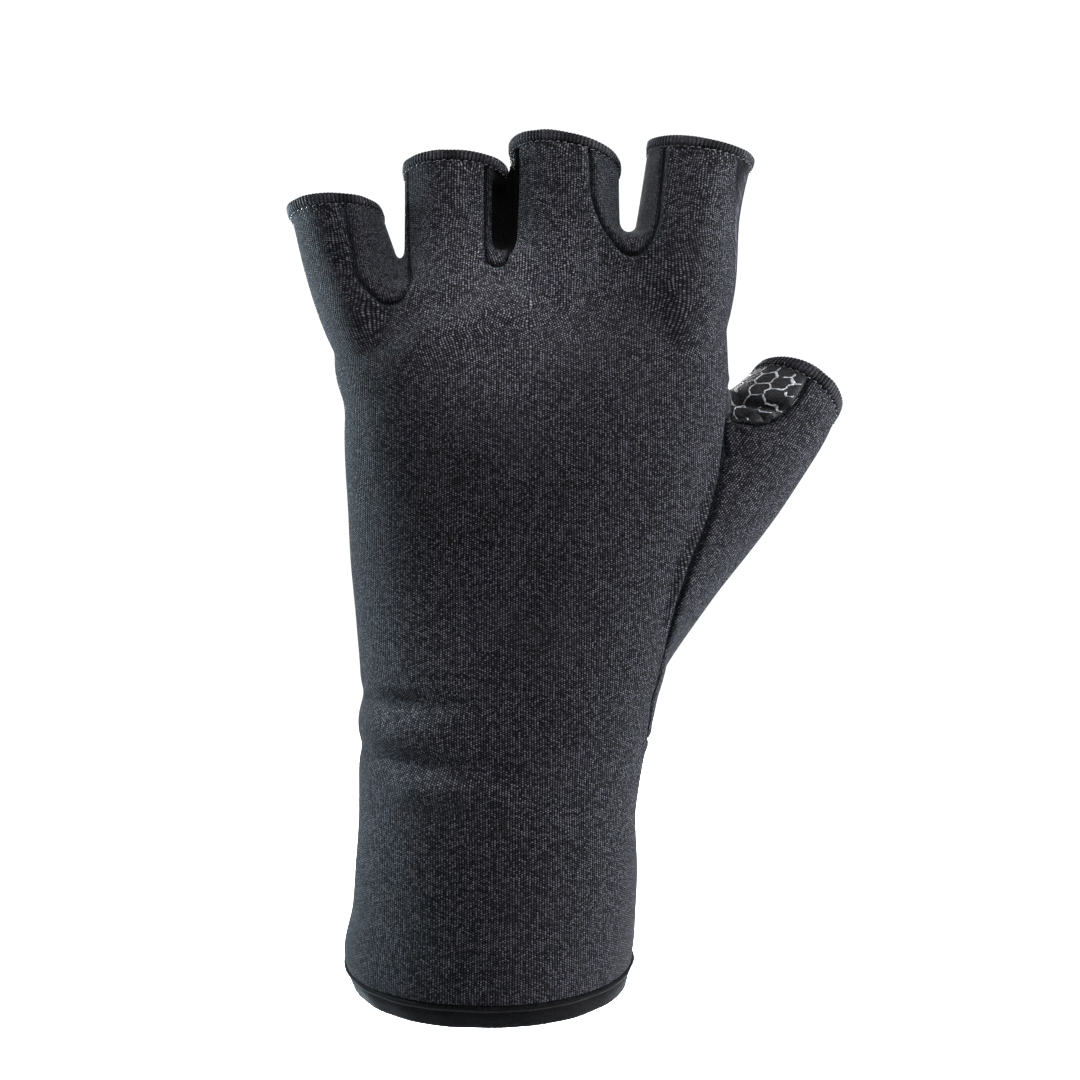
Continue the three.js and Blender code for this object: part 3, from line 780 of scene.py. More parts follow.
def drawn_back(points, faces, border):
    on_border = np.zeros(len(points), bool)
    on_border[border] = True
    pairs = edges_of(faces)
    towards = np.zeros_like(points)
    for a, b in ((0, 1), (1, 0)):
        inwards = on_border[pairs[:, a]] & ~on_border[pairs[:, b]]
        step = points[pairs[inwards, b]] - points[pairs[inwards, a]]
        for axis in range(3):
            drawn = np.bincount(pairs[inwards, a], weights=step[:, axis], minlength=len(points))
            towards[:, axis] += drawn
    length = np.linalg.norm(towards, axis=1, keepdims=True)
    return points + np.where(length > 1e-6, towards / np.maximum(length, 1e-6), 0) * EDGE_BACK


def smooth_object(name, points, faces, cloth=None):
    mesh = mesh_from(name, np.asarray(points) * MM, faces)
    mesh.polygons.foreach_set("use_smooth", np.full(len(mesh.polygons), True))
    if cloth is not None:
        layer = mesh.attributes.new("cloth", "FLOAT_VECTOR", "POINT")
        layer.data.foreach_set("vector", cloth.ravel())
    return placed(name, mesh)


def cloth_piece(name, faces, cloth):
    used = np.unique(faces)
    number = np.full(len(outer), -1)
    number[used] = np.arange(len(used))
    local = number[faces]
    border = border_loops(local)
    count = len(used)
    outside = drawn_back(outer[used], local, border)
    inside = drawn_back(inner[used], local, border)
    edge_points = np.unique(border)
    place = np.full(count, -1)
    place[edge_points] = 2 * count + np.arange(len(edge_points))
    a, b = place[border].T
    below = len(edge_points)
    one = np.stack([b, a, a + below], axis=1)
    two = np.stack([b, a + below, b + below], axis=1)
    all_faces = np.concatenate([local, local[:, ::-1] + count, one, two])
    all_points = np.concatenate([outside, inside, outside[edge_points], inside[edge_points]])
    own = cloth[used]
    all_cloth = np.concatenate([own, own, own[edge_points], own[edge_points]])
    return smooth_object(name, all_points, all_faces.tolist(), all_cloth)


# %% [markdown]
# ## Coordinates of the cloth
# The knit has columns of loops that run up the hand and round each finger. Coordinates
# from a camera's view would stretch at the sides, and unwrapping leaves seams where it
# likes. So each point is measured as a tailor would: along the skin from the middle of
# the back or palm, and up from the wrist. Where a finger leaves the hand the two
# measures disagree, and they are relaxed there until they run into each other.

# %% Lengths along the sections, from the middle of the back
ARC_STEPS = 1440


def arc_lengths(sections):
    ring = rings_of(sections, ARC_STEPS)
    step = np.linalg.norm(np.roll(ring, -1, axis=1) - ring, axis=2)
    length = np.concatenate([np.zeros((len(ring), 1)), np.cumsum(step, axis=1)], axis=1)
    front = length[:, ARC_STEPS * 3 // 4][:, None]
    return length - front


def turn_of(u, v, square):
    across = np.sign(u) * np.abs(u) ** (square / 2)
    through = np.sign(v) * np.abs(v) ** (square / 2)
    return np.arctan2(through, across) % (2 * math.pi)


def arc_place(table, row, turn):
    column = turn / (2 * math.pi) * ARC_STEPS
    low = np.clip(np.floor(column).astype(int), 0, ARC_STEPS - 1)
    share = column - low
    row = np.clip(np.round(row).astype(int), 0, len(table) - 1)
    value = table[row, low] * (1 - share) + table[row, low + 1] * share
    whole = table[row, ARC_STEPS] - table[row, 0]
    return np.where(turn < math.pi / 2, value + whole, value)


# %% The measured place of a point, and the place where a finger leaves the hand
ROOT_HEIGHT = 166
HAND_ROWS = 400
FINGER_ROWS = 160
COARSE = 8


def measured(table, row, turn, from_palm, opened_at=0.0):
    value = arc_place(table, row, turn)
    if not from_palm:
        return value
    row = np.clip(np.round(row).astype(int), 0, len(table) - 1)
    whole = table[row, ARC_STEPS] - table[row, 0]
    return np.where(value > opened_at * whole, 0.5, -0.5) * whole - value


def place_at_root(x, rows, sections, table, from_palm):
    row = np.argmin(np.abs(rows[:, 0] - ROOT_HEIGHT))
    square = sections["square"][row]
    u = np.clip((x - sections["centre"][row, 0]) / sections["half"][row], -0.97, 0.97)
    v = (1 - abs(u) ** square) ** (1 / square)
    turn = turn_of(np.array([u]), np.array([v if from_palm else -v]), square)
    return measured(table, np.array([row]), turn, from_palm)[0] + sections["centre"][row, 0]


# %% Coordinates on the hand, led up into each finger
def cloth_coordinates(points, from_palm=False):
    x, y, z = points.T
    rows = between(HAND, np.linspace(0, len(HAND) - 1, HAND_ROWS))
    hand = hand_sections(rows)
    hand_table = arc_lengths(hand)
    near = np.round(np.interp(z, rows[:, 0], np.arange(HAND_ROWS))).astype(int)
    u = (x - hand["centre"][near, 0]) / hand["half"][near]
    v = y / np.where(y < 0, hand["front"][near], hand["palm"][near])
    across = measured(hand_table, near, turn_of(u, v, hand["square"][near]), from_palm)
    across = across + hand["centre"][near, 0]
    along = z.copy()
    for finger, columns in FINGERS.items():
        sections = finger_sections(between(columns, np.linspace(0, len(columns) - 1, FINGER_ROWS)))
        table = arc_lengths(sections)
        centre = sections["centre"]
        upwards = np.cross(sections["through"], sections["across"])
        upwards = upwards * np.sign(upwards[:, 2:3])
        coarse_rows = range(0, FINGER_ROWS, COARSE)
        heights = np.stack([(points - centre[row]) @ upwards[row] for row in coarse_rows])
        near = np.argmin(np.abs(heights), axis=0) * COARSE
        step = np.linalg.norm(centre[COARSE] - centre[0]) / COARSE
        rest = np.take_along_axis(heights, near[None] // COARSE, axis=0)[0]
        near = np.clip(near - np.round(rest / step), 0, FINGER_ROWS - 1).astype(int)
        offset = points - centre[near]
        u = np.sum(offset * sections["across"][near], axis=1) / sections["half"][near]
        v = np.sum(offset * sections["through"][near], axis=1) / sections["front"][near]
        reach = (np.abs(u) ** FINGER_SQUARE + np.abs(v) ** FINGER_SQUARE) ** (1 / FINGER_SQUARE)
        turn = turn_of(u, v, sections["square"][near])
        wrapped = measured(table, near, turn, from_palm, 0.25 if finger == "thumb" else 0.0)
        if finger == "thumb":
            spine = np.concatenate([[0], np.cumsum(np.linalg.norm(np.diff(centre, axis=0), axis=1))])
            up_thumb = np.sum(offset * upwards[near], axis=1) - spine[near]
            thumb_flat = wrapped + 1j * up_thumb
        else:
            middle = centre[np.argmin(np.abs(centre[:, 2] - ROOT_HEIGHT)), 0]
            root = place_at_root(middle, rows, hand, hand_table, from_palm)
            share = smoothstep(158, 184, z) * (1 - smoothstep(1.02, 1.12, reach))
            across = across * (1 - share) + (wrapped + root) * share
    return across + 1j * along, thumb_flat


# %% The back is measured from its middle, and the thumb's outer side on its own
THUMB_ROOT_X = 59.6


def relaxed(flat, weight, steps=60):
    pairs = np.stack([flat.real, flat.imag], axis=1)
    for _ in range(steps):
        pairs += (neighbour_mean(pairs, skin_edges) - pairs) * weight[:, None] * 0.5
    return pairs


skin_edges = edges_of(triangles)
x, y, z = skin.T
hand_flat, thumb_flat = cloth_coordinates(skin)
on_thumb = (thumb_field(skin) > -0.2) & (x > np.interp(z, BACK_EDGE[:, 0], BACK_EDGE[:, 1]))
flat = np.where(on_thumb | (x > THUMB_ROOT_X), thumb_flat, hand_flat)
back_flat = relaxed(flat, smoothstep(152, 164, z) * (x < 59))

# %% The palm is measured from its own middle, and its thumb turns into the hand's plane
hand_flat, thumb_flat = cloth_coordinates(skin, from_palm=True)
junction = (y > 8) & (x > 50) & (x < 66) & (z > 100)
hand_middle = hand_flat[junction].mean()
thumb_middle = thumb_flat[junction].mean()
turned = np.sum((hand_flat[junction] - hand_middle) * np.conj(thumb_flat[junction] - thumb_middle))
turned = turned / abs(turned)
inner_side = 1 - smoothstep(3, 10, y)
on_thumb = smoothstep(52 + 5 * inner_side, 64 - 4 * inner_side, x)
flat = hand_flat * (1 - on_thumb) + ((thumb_flat - thumb_middle) * turned + hand_middle) * on_thumb
near_junction = smoothstep(46, 52, x) * (1 - smoothstep(64, 72, x)) * smoothstep(95, 105, z)
near_junction = np.maximum(near_junction * (1 - inner_side), 0.12)
near_root = smoothstep(152, 164, z) * (x < 59)
palm_flat = relaxed(flat, np.maximum(near_root, near_junction))
on_inner_side = 0.12 * inner_side * smoothstep(59, 62, x)
palm_flat = relaxed(palm_flat[:, 0] + 1j * palm_flat[:, 1], on_inner_side, 180)
print("the thumb's cloth is turned by", round(math.degrees(np.angle(turned)), 1), "degrees")

# %% A gusset runs down one finger, round the web and up the next
def gusset_flat(points, middle):
    x, y, z = points.T
    from_left = np.sign(middle - x) * (x - middle)
    return np.stack([y + from_left, z + (y - from_left) * 0.7], axis=1)


# %% Make the sewn pieces
seam_distance = distance[:, None]
back_cloth = np.concatenate([back_flat, seam_distance], axis=1)
palm_cloth = np.concatenate([palm_flat, seam_distance], axis=1)
pieces = {}
for index, name in enumerate(PIECES):
    cloth = palm_cloth if name == "palm_panel" else back_cloth
    if name in GUSSET_SEAMS:
        middle = GAPS[list(GUSSET_SEAMS).index(name)][0]
        cloth = np.concatenate([gusset_flat(skin, middle), seam_distance], axis=1)
    made = cloth_piece(f"{name}_cloth", triangles[labels == index], cloth)
    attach(made, "root")
    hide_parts(name)
    pieces[name] = made
    print(made.name, len(made.data.polygons), "triangles")

# %% [markdown]
# ## Tape round the finger openings
# Each opening is bound with a narrow dark tape whose short ribs run across it. A bump
# map could fake the ribs, but they show on the outline of every finger, so they are
# modelled: a closed band with a rounded profile, and a ripple that runs round it.

# %% A rounded profile of a tape: how far down, and how far out, from inside to outside
RIB_PITCH = 0.95
RIB_HEIGHT = 0.17


def tape_profile(height, thickness, proud, corner, steps=5):
    middle = proud - thickness / 2
    half_height = height / 2
    points = []
    corners = [(half_height, 1), (-half_height, 1), (-half_height, -1), (half_height, -1)]
    for (down, out), start in zip(corners, (0, 90, 180, 270)):
        centre_down = half_height + down - math.copysign(corner, down)
        centre_out = middle + out * (thickness / 2 - corner)
        for step in range(steps):
            angle = math.radians(start + 90 * step / (steps - 1))
            points.append((centre_down + corner * math.cos(angle), centre_out + corner * math.sin(angle)))
    return np.array(points)


def band(name, profile, section_at, sides, ripple):
    rings = np.array([rings_of(section_at(down), sides, out)[0] for down, out in profile])
    outwards = rings - rings.mean(axis=1, keepdims=True)
    outwards /= np.linalg.norm(outwards, axis=2, keepdims=True)
    ring = rings[len(profile) // 4]
    step = np.linalg.norm(np.roll(ring, -1, axis=0) - ring, axis=1)
    length = np.concatenate([[0], np.cumsum(step)])
    ripples = ripple(profile, length[:-1] / length[-1], length[-1])
    rings = rings + outwards * ripples[:, :, None]
    count = len(profile)
    faces = []
    for a in range(count):
        b = (a + 1) % count
        for side in range(sides):
            turn = (side + 1) % sides
            faces.append((a * sides + side, a * sides + turn, b * sides + turn, b * sides + side))
    round_band = np.tile(length[:-1], count)
    down_band = np.repeat(profile[:, 0], sides)
    # The third value is the ripple height; the binding tape's finish colours its ribs by it as painted
    # light and shade.
    cloth = np.stack([round_band, down_band, ripples.ravel()], axis=1)
    return smooth_object(name, rings, faces, cloth)


# %% The five bindings
def ribbed(profile, share, length):
    count = round(length / RIB_PITCH)
    wave = np.random.default_rng(SEED + count)
    wander = sum(wave.uniform(0.2, 0.5) * np.sin(2 * math.pi * share * turns + wave.uniform(0, 6.28))
                 for turns in (2, 3, 5, 7))
    phase = 2 * math.pi * share[None, :] * count + 0.55 * profile[:, :1] + wander[None, :] * 0.8
    ribs = RIB_HEIGHT * (np.abs(np.cos(phase / 2)) ** 0.8 - 0.5) * 2
    outer_side = smoothstep(-WALL, 0, profile[:, 1:2])
    uneven = 0.12 * np.sin(2 * math.pi * share[None, :] * 6 + wander[None, :] * 2)
    return (ribs * 0.9 + uneven) * (0.35 + 0.65 * outer_side)


TAPE_CORNER = 0.95
BAND_SIDES = 560
binding_thickness = WALL + 2 * BINDING_PROUD
binding_profile = tape_profile(BINDING_HEIGHT, binding_thickness, BINDING_PROUD, TAPE_CORNER)
for finger, rows in FINGERS.items():
    def section_at(down, rows=rows):
        return finger_sections(between(rows, down_to_place(rows, down)))
    made = turned_out(band(f"binding_{finger}_tape", binding_profile, section_at, BAND_SIDES, ribbed))
    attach(made, "root")
    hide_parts(f"binding_{finger}")
    pieces[f"binding_{finger}"] = made
    print(made.name, len(made.data.polygons), "faces")

# %% [markdown]
# ## The hem at the wrist
# The wrist edge is turned up and closed by a smooth, darker band that stands a little
# proud and curls in at the bottom. The same band maker does it, with a softer ripple.

# %% The hem
def hem_section(up):
    place = np.interp(up, HAND[:2, 0], [0, 1])
    row = between(HAND, place)
    row[0, 0] = up
    return hand_sections(row)


HEM_RIPPLE = 0.07
HEM_SIDES = 640


def hem_ripple(profile, share, length):
    wave = np.random.default_rng(SEED)
    moved = np.zeros((len(profile), len(share)))
    for turns in (3, 5, 8, 13, 21):
        phase = 2 * math.pi * share[None, :] * turns + wave.uniform(0, 6.28)
        moved += HEM_RIPPLE * np.sin(phase + profile[:, :1] * 0.3)
    return moved * smoothstep(-WALL, 0, profile[:, 1:2])


HEM_PROFILE = np.array([
    (5.40, -1.6), (5.40, -0.4), (5.36, 0.25), (5.15, 0.62), (4.80, 0.78), (4.45, 0.66), (4.22, 0.38),
    (4.05, 0.22), (3.80, 0.30), (3.20, 0.46), (2.40, 0.52), (1.50, 0.44), (0.80, 0.40), (0.28, 0.12),
    (0.02, -0.40), (0.00, -1.10), (0.12, -1.90), (0.50, -2.30), (1.20, -2.45), (4.40, -2.45),
    (5.10, -2.30),
])
hem = turned_out(band("cuff_hem_tape", HEM_PROFILE, hem_section, HEM_SIDES, hem_ripple))
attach(hem, "root")
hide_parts("cuff_hem")
pieces["cuff_hem"] = hem
print(hem.name, len(hem.data.polygons), "faces")

# %% [markdown]
# ## Shader maths as plain expressions
# A finish is a small graph of nodes. Wiring each node by hand hides the formula, so a
# thin class wraps a socket and lets Python's operators add the Math nodes.


# %% A socket that can be added, multiplied and limited
class Value:
    def __init__(self, finish, socket):
        self.finish = finish
        self.socket = socket

    def maths(self, operation, *others, swapped=False):
        inputs = [self, *others]
        if swapped:
            inputs.reverse()
        settings = {"operation": operation}
        return self.finish.node("ShaderNodeMath", settings, dict(enumerate(inputs)))["Value"]

    def __add__(self, other):
        return self.maths("ADD", other)

    def __sub__(self, other):
        return self.maths("SUBTRACT", other)

    def __rsub__(self, other):
        return self.maths("SUBTRACT", other, swapped=True)

    def __mul__(self, other):
        return self.maths("MULTIPLY", other)

    def __truediv__(self, other):
        return self.maths("DIVIDE", other)

    def __rtruediv__(self, other):
        return self.maths("DIVIDE", other, swapped=True)

    def __pow__(self, other):
        return self.maths("POWER", other)

    __radd__ = __add__
    __rmul__ = __mul__

    def floor(self):
        return self.maths("FLOOR")

    def fraction(self):
        return self.maths("FRACT")

    def sine(self):
        return self.maths("SINE")

    def most(self, other):
        return self.maths("MAXIMUM", other)

    def least(self, other):
        return self.maths("MINIMUM", other)

    def step(self, low, high):
        ranged = {"interpolation_type": "SMOOTHSTEP"}
        return self.finish.node("ShaderNodeMapRange", ranged, {
            "Value": self, "From Min": low, "From Max": high, "To Min": 0.0, "To Max": 1.0,
        })["Result"]


# %% A finish: one material and the one way that a node gets into it
class Finish:
    def __init__(self, name, **fixed):
        self.material = bpy.data.materials.new(name)
        self.material.use_nodes = True
        self.tree = self.material.node_tree
        self.shader = self.tree.nodes["Principled BSDF"]
        for key, value in fixed.items():
            self.shader.inputs[key.replace("_", " ")].default_value = value

    def put(self, socket, value):
        if isinstance(value, Value):
            self.tree.links.new(value.socket, socket)
        elif socket.type == "RGBA" and len(value) == 3:
            socket.default_value = (*value, 1.0)
        else:
            socket.default_value = value

    def node(self, kind, settings=None, inputs=None):
        made = self.tree.nodes.new(kind)
        for key, value in (settings or {}).items():
            setattr(made, key, value)
        for key, value in (inputs or {}).items():
            self.put(made.inputs[key], value)
        return {socket.name: Value(self, socket) for socket in made.outputs if socket.enabled}

    def mixed(self, factor, one, two):
        made = self.tree.nodes.new("ShaderNodeMix")
        made.data_type = "RGBA"
        for index, value in ((0, factor), (6, one), (7, two)):
            self.put(made.inputs[index], value)
        return Value(self, made.outputs[2])

    def cloth(self):
        found = self.node("ShaderNodeAttribute", {"attribute_name": "cloth"})["Vector"]
        parts = self.node("ShaderNodeSeparateXYZ", {}, {0: found})
        return parts["X"], parts["Y"], parts["Z"]

    def noise(self, vector, scale, detail=2.0, roughness=0.5):
        return self.node("ShaderNodeTexNoise", {}, {
            "Vector": vector, "Scale": scale, "Detail": detail, "Roughness": roughness,
        })["Fac"]

    def position(self):
        return self.node("ShaderNodeTexCoord")["Object"]

    def bump(self, height, distance, strength=1.0):
        return self.node("ShaderNodeBump", {}, {
            "Height": height, "Distance": distance, "Strength": strength,
        })["Normal"]

    def feed(self, **links):
        for key, value in links.items():
            self.put(self.shader.inputs[key.replace("_", " ")], value)
        return self.material


# %% [markdown]
# ## The brushed knit of the shell
# Close up, the shell is a fine jersey: columns of small loops, about 0.6 mm apart, in
# black yarn that isn't even, under a thin brushed fuzz that catches light at grazing
# angles. An image texture would need a scan. Here the loops come from the coordinates
# of the cloth, each with its own brightness, and the fuzz is the shader's sheen.

# %% Loops of the knit: a height and a random brightness for each loop
LOOP_WIDTH = 0.6
LOOP_HEIGHT = 0.5


def loops(finish, across, along, width, height):
    column = across / width
    row = along / height + column.floor() * 0.5
    from_middle = column.fraction() - 0.5
    from_row = row.fraction() - 0.5
    dome = (1 - from_middle * from_middle * 3.4 - from_row * from_row * 2.6).most(0.0)
    place = finish.node("ShaderNodeCombineXYZ", {}, {"X": column.floor(), "Y": row.floor()})["Vector"]
    chance = finish.node("ShaderNodeTexWhiteNoise", {"noise_dimensions": "2D"}, {"Vector": place})["Value"]
    return dome, chance


# %% The knit: yarn, brushed fuzz, uneven patches, painted shade at its seams and painted shade deep in a slot
YARN_DARK = (0.0001, 0.0001, 0.00015)
YARN_LIGHT = (0.0330, 0.0319, 0.0385)
YARN_WARM = (0.0050, 0.0042, 0.0050)
SEAM_PAINTED_SHADE = (0.0003, 0.0003, 0.0004)
SLOT_PAINTED_SHADE = (0.0001, 0.0001, 0.0001)
SHEEN_TINT = (0.70, 0.86, 1.0, 1.0)
FUZZ_SCALE = 2600.0
PATCH_SCALE = 38.0
WANDER_SCALE = 90.0


def knit(name, sheen, deep=None):
    finish = Finish(name, Sheen_Weight=sheen, Sheen_Roughness=0.3, Sheen_Tint=SHEEN_TINT,
                    Specular_IOR_Level=0.012)
    across, along, seam = finish.cloth()
    spot = finish.position()
    wander = finish.noise(spot, WANDER_SCALE, 2.0) * 0.5
    dome, chance = loops(finish, across + wander, along + wander, LOOP_WIDTH, LOOP_HEIGHT)
    fuzz = finish.noise(spot, FUZZ_SCALE, 3.0, 0.65)
    patch = finish.noise(spot, PATCH_SCALE, 3.0, 0.55)
    grain = (dome * (chance * 0.55 + 0.45) + (fuzz - 0.5) * 0.7).most(0.0).least(1.0)
    colour = finish.mixed(grain ** 3.0, YARN_DARK, YARN_LIGHT)
    colour = finish.mixed(patch.step(0.45, 0.75) * 0.2, colour, YARN_WARM)
    # Painted shade: cloth within about a millimetre of a seam is darkened towards black, in place of the
    # shade in the seam's groove.
    painted_seam_shade = 1 - seam.step(0.25, 1.1)
    colour = finish.mixed(painted_seam_shade * 0.9, colour, SEAM_PAINTED_SHADE)
    # Painted shade: further into the slot between the ring and middle finger, the gusset's colour is
    # darkened to black.
    if deep:
        depth = finish.node("ShaderNodeSeparateXYZ", {}, {0: spot})["Y"]
        colour = finish.mixed(depth.step(*deep), colour, SLOT_PAINTED_SHADE)
    height = dome * (chance * 0.5 + 0.6) + fuzz * 0.7
    return finish.feed(Base_Color=colour, Roughness=0.95 - fuzz * 0.2,
                       Normal=finish.bump(height, 0.0003, 1.0))


shell_finish = knit("shell_knit", 0.025)
# The gusset between the ring and middle finger gets the knit with painted shade deep in its slot.
painted_slot_shade_finish = knit("slot_knit_painted_shade", 0.0, deep=(-0.0105, -0.0065))

# %% [markdown]
# ## Grip fabric, print, tape, hem and thread
# The palm is a smoother black cloth that carries a silvery honeycomb print. The tapes
# are denser and darker than the shell, and their threads catch small glints.

# %% Grip fabric
COOL_SHEEN = {"Sheen_Roughness": 0.3, "Sheen_Tint": (0.8, 0.88, 1.0, 1.0)}
grip = Finish("grip_fabric", Sheen_Weight=0.05, Specular_IOR_Level=0.03, **COOL_SHEEN)
across, along, seam = grip.cloth()
fine = grip.noise(grip.position(), 1900.0, 3.0, 0.6)
dome, chance = loops(grip, across, along, 0.5, 0.42)
grain = (dome * (chance * 0.7 + 0.3) * 0.8 + (fine - 0.5) * 0.8).most(0.0).least(1.0)
colour = grip.mixed(grain, (0.0004, 0.0004, 0.0005), (0.0070, 0.0069, 0.0078))
# Painted shade: grip cloth near a seam is darkened, in place of the shade in the seam's groove.
colour = grip.mixed((1 - seam.step(0.15, 0.9)) * 0.75, colour, (0.0003, 0.0003, 0.0003))
grip_finish = grip.feed(Base_Color=colour, Roughness=0.75 - fine * 0.25,
                        Normal=grip.bump(dome * 0.6 + fine * 0.7, 0.0001, 0.8))

# %% Silvery print
printed = Finish("honeycomb_print", Specular_IOR_Level=0.25)
wear = printed.noise(printed.position(), 1400.0, 3.0, 0.7)
rub = printed.noise(printed.position(), 260.0, 2.0, 0.6)
colour = printed.mixed(wear.step(0.35, 0.62), (0.015, 0.016, 0.018), (0.075, 0.080, 0.088))
colour = printed.mixed(rub.step(0.50, 0.72) * 0.75, colour, (0.012, 0.013, 0.015))
print_finish = printed.feed(Base_Color=colour, Roughness=0.42 + wear * 0.2,
                            Normal=printed.bump(wear, 0.00006, 0.8))

# %% Ribbed binding tape
THREAD_PITCH = 0.32
tape = Finish("binding_tape", Sheen_Weight=0.1, Specular_IOR_Level=0.02, **COOL_SHEEN)
round_tape, down_tape, out_tape = tape.cloth()
fuzz = tape.noise(tape.position(), 2300.0, 3.0, 0.65)
thread = (round_tape * (2 * math.pi / THREAD_PITCH) + down_tape * 3.0).sine() * 0.5 + 0.5
# Painted light and shade: rib crests, read from the ripple height, are coloured lighter and the valleys
# between them darker.
painted_rib_light = out_tape.step(-0.12, 0.2)
grain = (thread * 0.15 + painted_rib_light * 0.6 + (fuzz - 0.5) * 1.5 - 0.05).most(0.0).least(1.0)
colour = tape.mixed(grain ** 2.0, (0.0001, 0.0001, 0.0002), (0.0110, 0.0107, 0.0130))
tape_finish = tape.feed(Base_Color=colour, Roughness=0.85 - fuzz * 0.25,
                        Normal=tape.bump(thread * 0.5 + fuzz, 0.00012, 0.9))

# %% Hem tape
edge = Finish("hem_tape", Sheen_Weight=0.04, Specular_IOR_Level=0.01, **COOL_SHEEN)
round_hem, down_hem, _ = edge.cloth()
fuzz = edge.noise(edge.position(), 2000.0, 3.0, 0.65)
dome, chance = loops(edge, round_hem, down_hem, 0.5, 0.4)
grain = (dome * chance * 0.5 + (fuzz - 0.5) * 0.9 + 0.1).most(0.0).least(1.0)
colour = edge.mixed(grain, (0.0001, 0.0001, 0.0001), (0.0028, 0.0028, 0.0032))
hem_finish = edge.feed(Base_Color=colour, Roughness=0.8 - fuzz * 0.2,
                       Normal=edge.bump(dome * 0.5 + fuzz * 0.8, 0.0001, 0.8))

# %% Sewing thread
thread_made = Finish("sewing_thread", Specular_IOR_Level=0.2, Roughness=0.5)
twist = thread_made.noise(thread_made.position(), 3000.0, 1.0)
colour = thread_made.mixed(twist.step(0.3, 0.7), (0.0008, 0.0008, 0.001), (0.007, 0.007, 0.008))
thread_finish = thread_made.feed(Base_Color=colour)


# %% Each piece gets its finish
def dress(made, material):
    made.data.materials.clear()
    made.data.materials.append(material)
    return made


OTHER_FINISHES = {
    "palm_panel": grip_finish, "cuff_hem": hem_finish, "fourchette_ring_middle": painted_slot_shade_finish,
    **{f"binding_{finger}": tape_finish for finger in FINGERS},
}
for name, made in pieces.items():
    dress(made, OTHER_FINISHES.get(name, shell_finish))

# %% [markdown]
# ## Stitches beside the tapes
# A row of small stitches holds each tape to the cloth, and their rounded threads catch
# points of light. Each stitch is a short arched tube that dips into the cloth at both
# ends, laid round the finger just below the tape.

# %% Stitches round a section
STITCH_LENGTH = 1.15
STITCH_STEP = 1.75
STITCH_RADIUS = 0.13
STITCH_BELOW = 0.35
STITCH_OUT = 0.22
STITCH_LEAN = 0.12
STITCH_SIDES = 7
STITCH_RINGS = 7


def stitch_row(name, section):
    sides, rings = STITCH_SIDES, STITCH_RINGS
    ring = rings_of(section, ARC_STEPS, STITCH_OUT)[0]
    middle = ring.mean(axis=0)
    upwards = np.cross(section["through"][0], section["across"][0])
    upwards = upwards * np.sign(upwards[2])
    step = np.linalg.norm(np.roll(ring, -1, axis=0) - ring, axis=1)
    length = np.concatenate([[0], np.cumsum(step)])
    count = round(length[-1] / STITCH_STEP)
    chance = np.random.default_rng(SEED + count)
    points = []
    faces = []
    for index in range(count):
        start = (index + chance.uniform(-0.06, 0.06)) * length[-1] / count
        along = start + np.linspace(0, STITCH_LENGTH * chance.uniform(0.9, 1.08), rings)
        where = np.interp(along % length[-1], length[:-1], np.arange(len(ring)))
        centre = ring[np.round(where).astype(int) % len(ring)]
        arch = np.sin(np.linspace(0, math.pi, rings))
        outwards = centre - middle
        outwards /= np.linalg.norm(outwards, axis=1, keepdims=True)
        centre = centre + outwards * (arch * 0.2 - 0.12)[:, None]
        lean = np.linspace(-STITCH_LEAN, STITCH_LEAN, rings) + chance.uniform(-0.08, 0.08)
        centre = centre + upwards * lean[:, None]
        thick = STITCH_RADIUS * (0.45 + 0.55 * arch)
        turn = np.linspace(0, 2 * math.pi, sides, endpoint=False)
        base = len(points) * sides * rings
        tube = (centre[:, None] + outwards[:, None] * (np.cos(turn) * thick[:, None])[:, :, None]
                + upwards[None, None] * (np.sin(turn) * thick[:, None])[:, :, None])
        points.append(tube.reshape(-1, 3))
        for a in range(rings - 1):
            for side in range(sides):
                b = (side + 1) % sides
                faces.append((base + a * sides + side, base + a * sides + b,
                              base + (a + 1) * sides + b, base + (a + 1) * sides + side))
        last = base + (rings - 1) * sides
        for side in range(1, sides - 1):
            faces.append((base, base + side, base + side + 1))
            faces.append((last, last + side + 1, last + side))
    made = smooth_object(name, np.concatenate(points), faces)
    return dress(turned_out(made), thread_finish)


for finger, rows in FINGERS.items():
    section = finger_sections(between(rows, down_to_place(rows, BINDING_HEIGHT + STITCH_BELOW)))
    made = stitch_row(f"binding_{finger}_stitches", section)
    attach(made, "root")
    print(made.name, len(made.data.polygons), "faces")

# %% [markdown]
# ## The honeycomb print
# The palm and the thumb's inner side carry a raised silvery print of hexagons for grip,
# worn thin and broken in places. It could be a pattern in the material, but the real
# print stands up from the cloth and catches light, so each line is a low rounded bar.
# The lines are drawn flat, in the coordinates of the cloth, and then laid on the skin.

# %% The palm's cloth laid flat
PRINT_CELL = 4.2
PRINT_WIDTH = 0.5
PRINT_RISE = 0.13
PRINT_SUNK = 0.07
PRINT_MARGIN = 0.45
PRINT_STEPS = 5
PRINT_LOWEST = 60.0
HAND_BAR_STEP = 1.1
THUMB_BAR_STEP = 1.5
LARGEST_FLAT = 3.0
CHART_OVERLAP = 5.0
palm_faces = triangles[labels == PIECES.index("palm_panel")]
extent = np.ptp(palm_flat[palm_faces], axis=1).max(axis=1)
palm_faces = palm_faces[extent < LARGEST_FLAT]


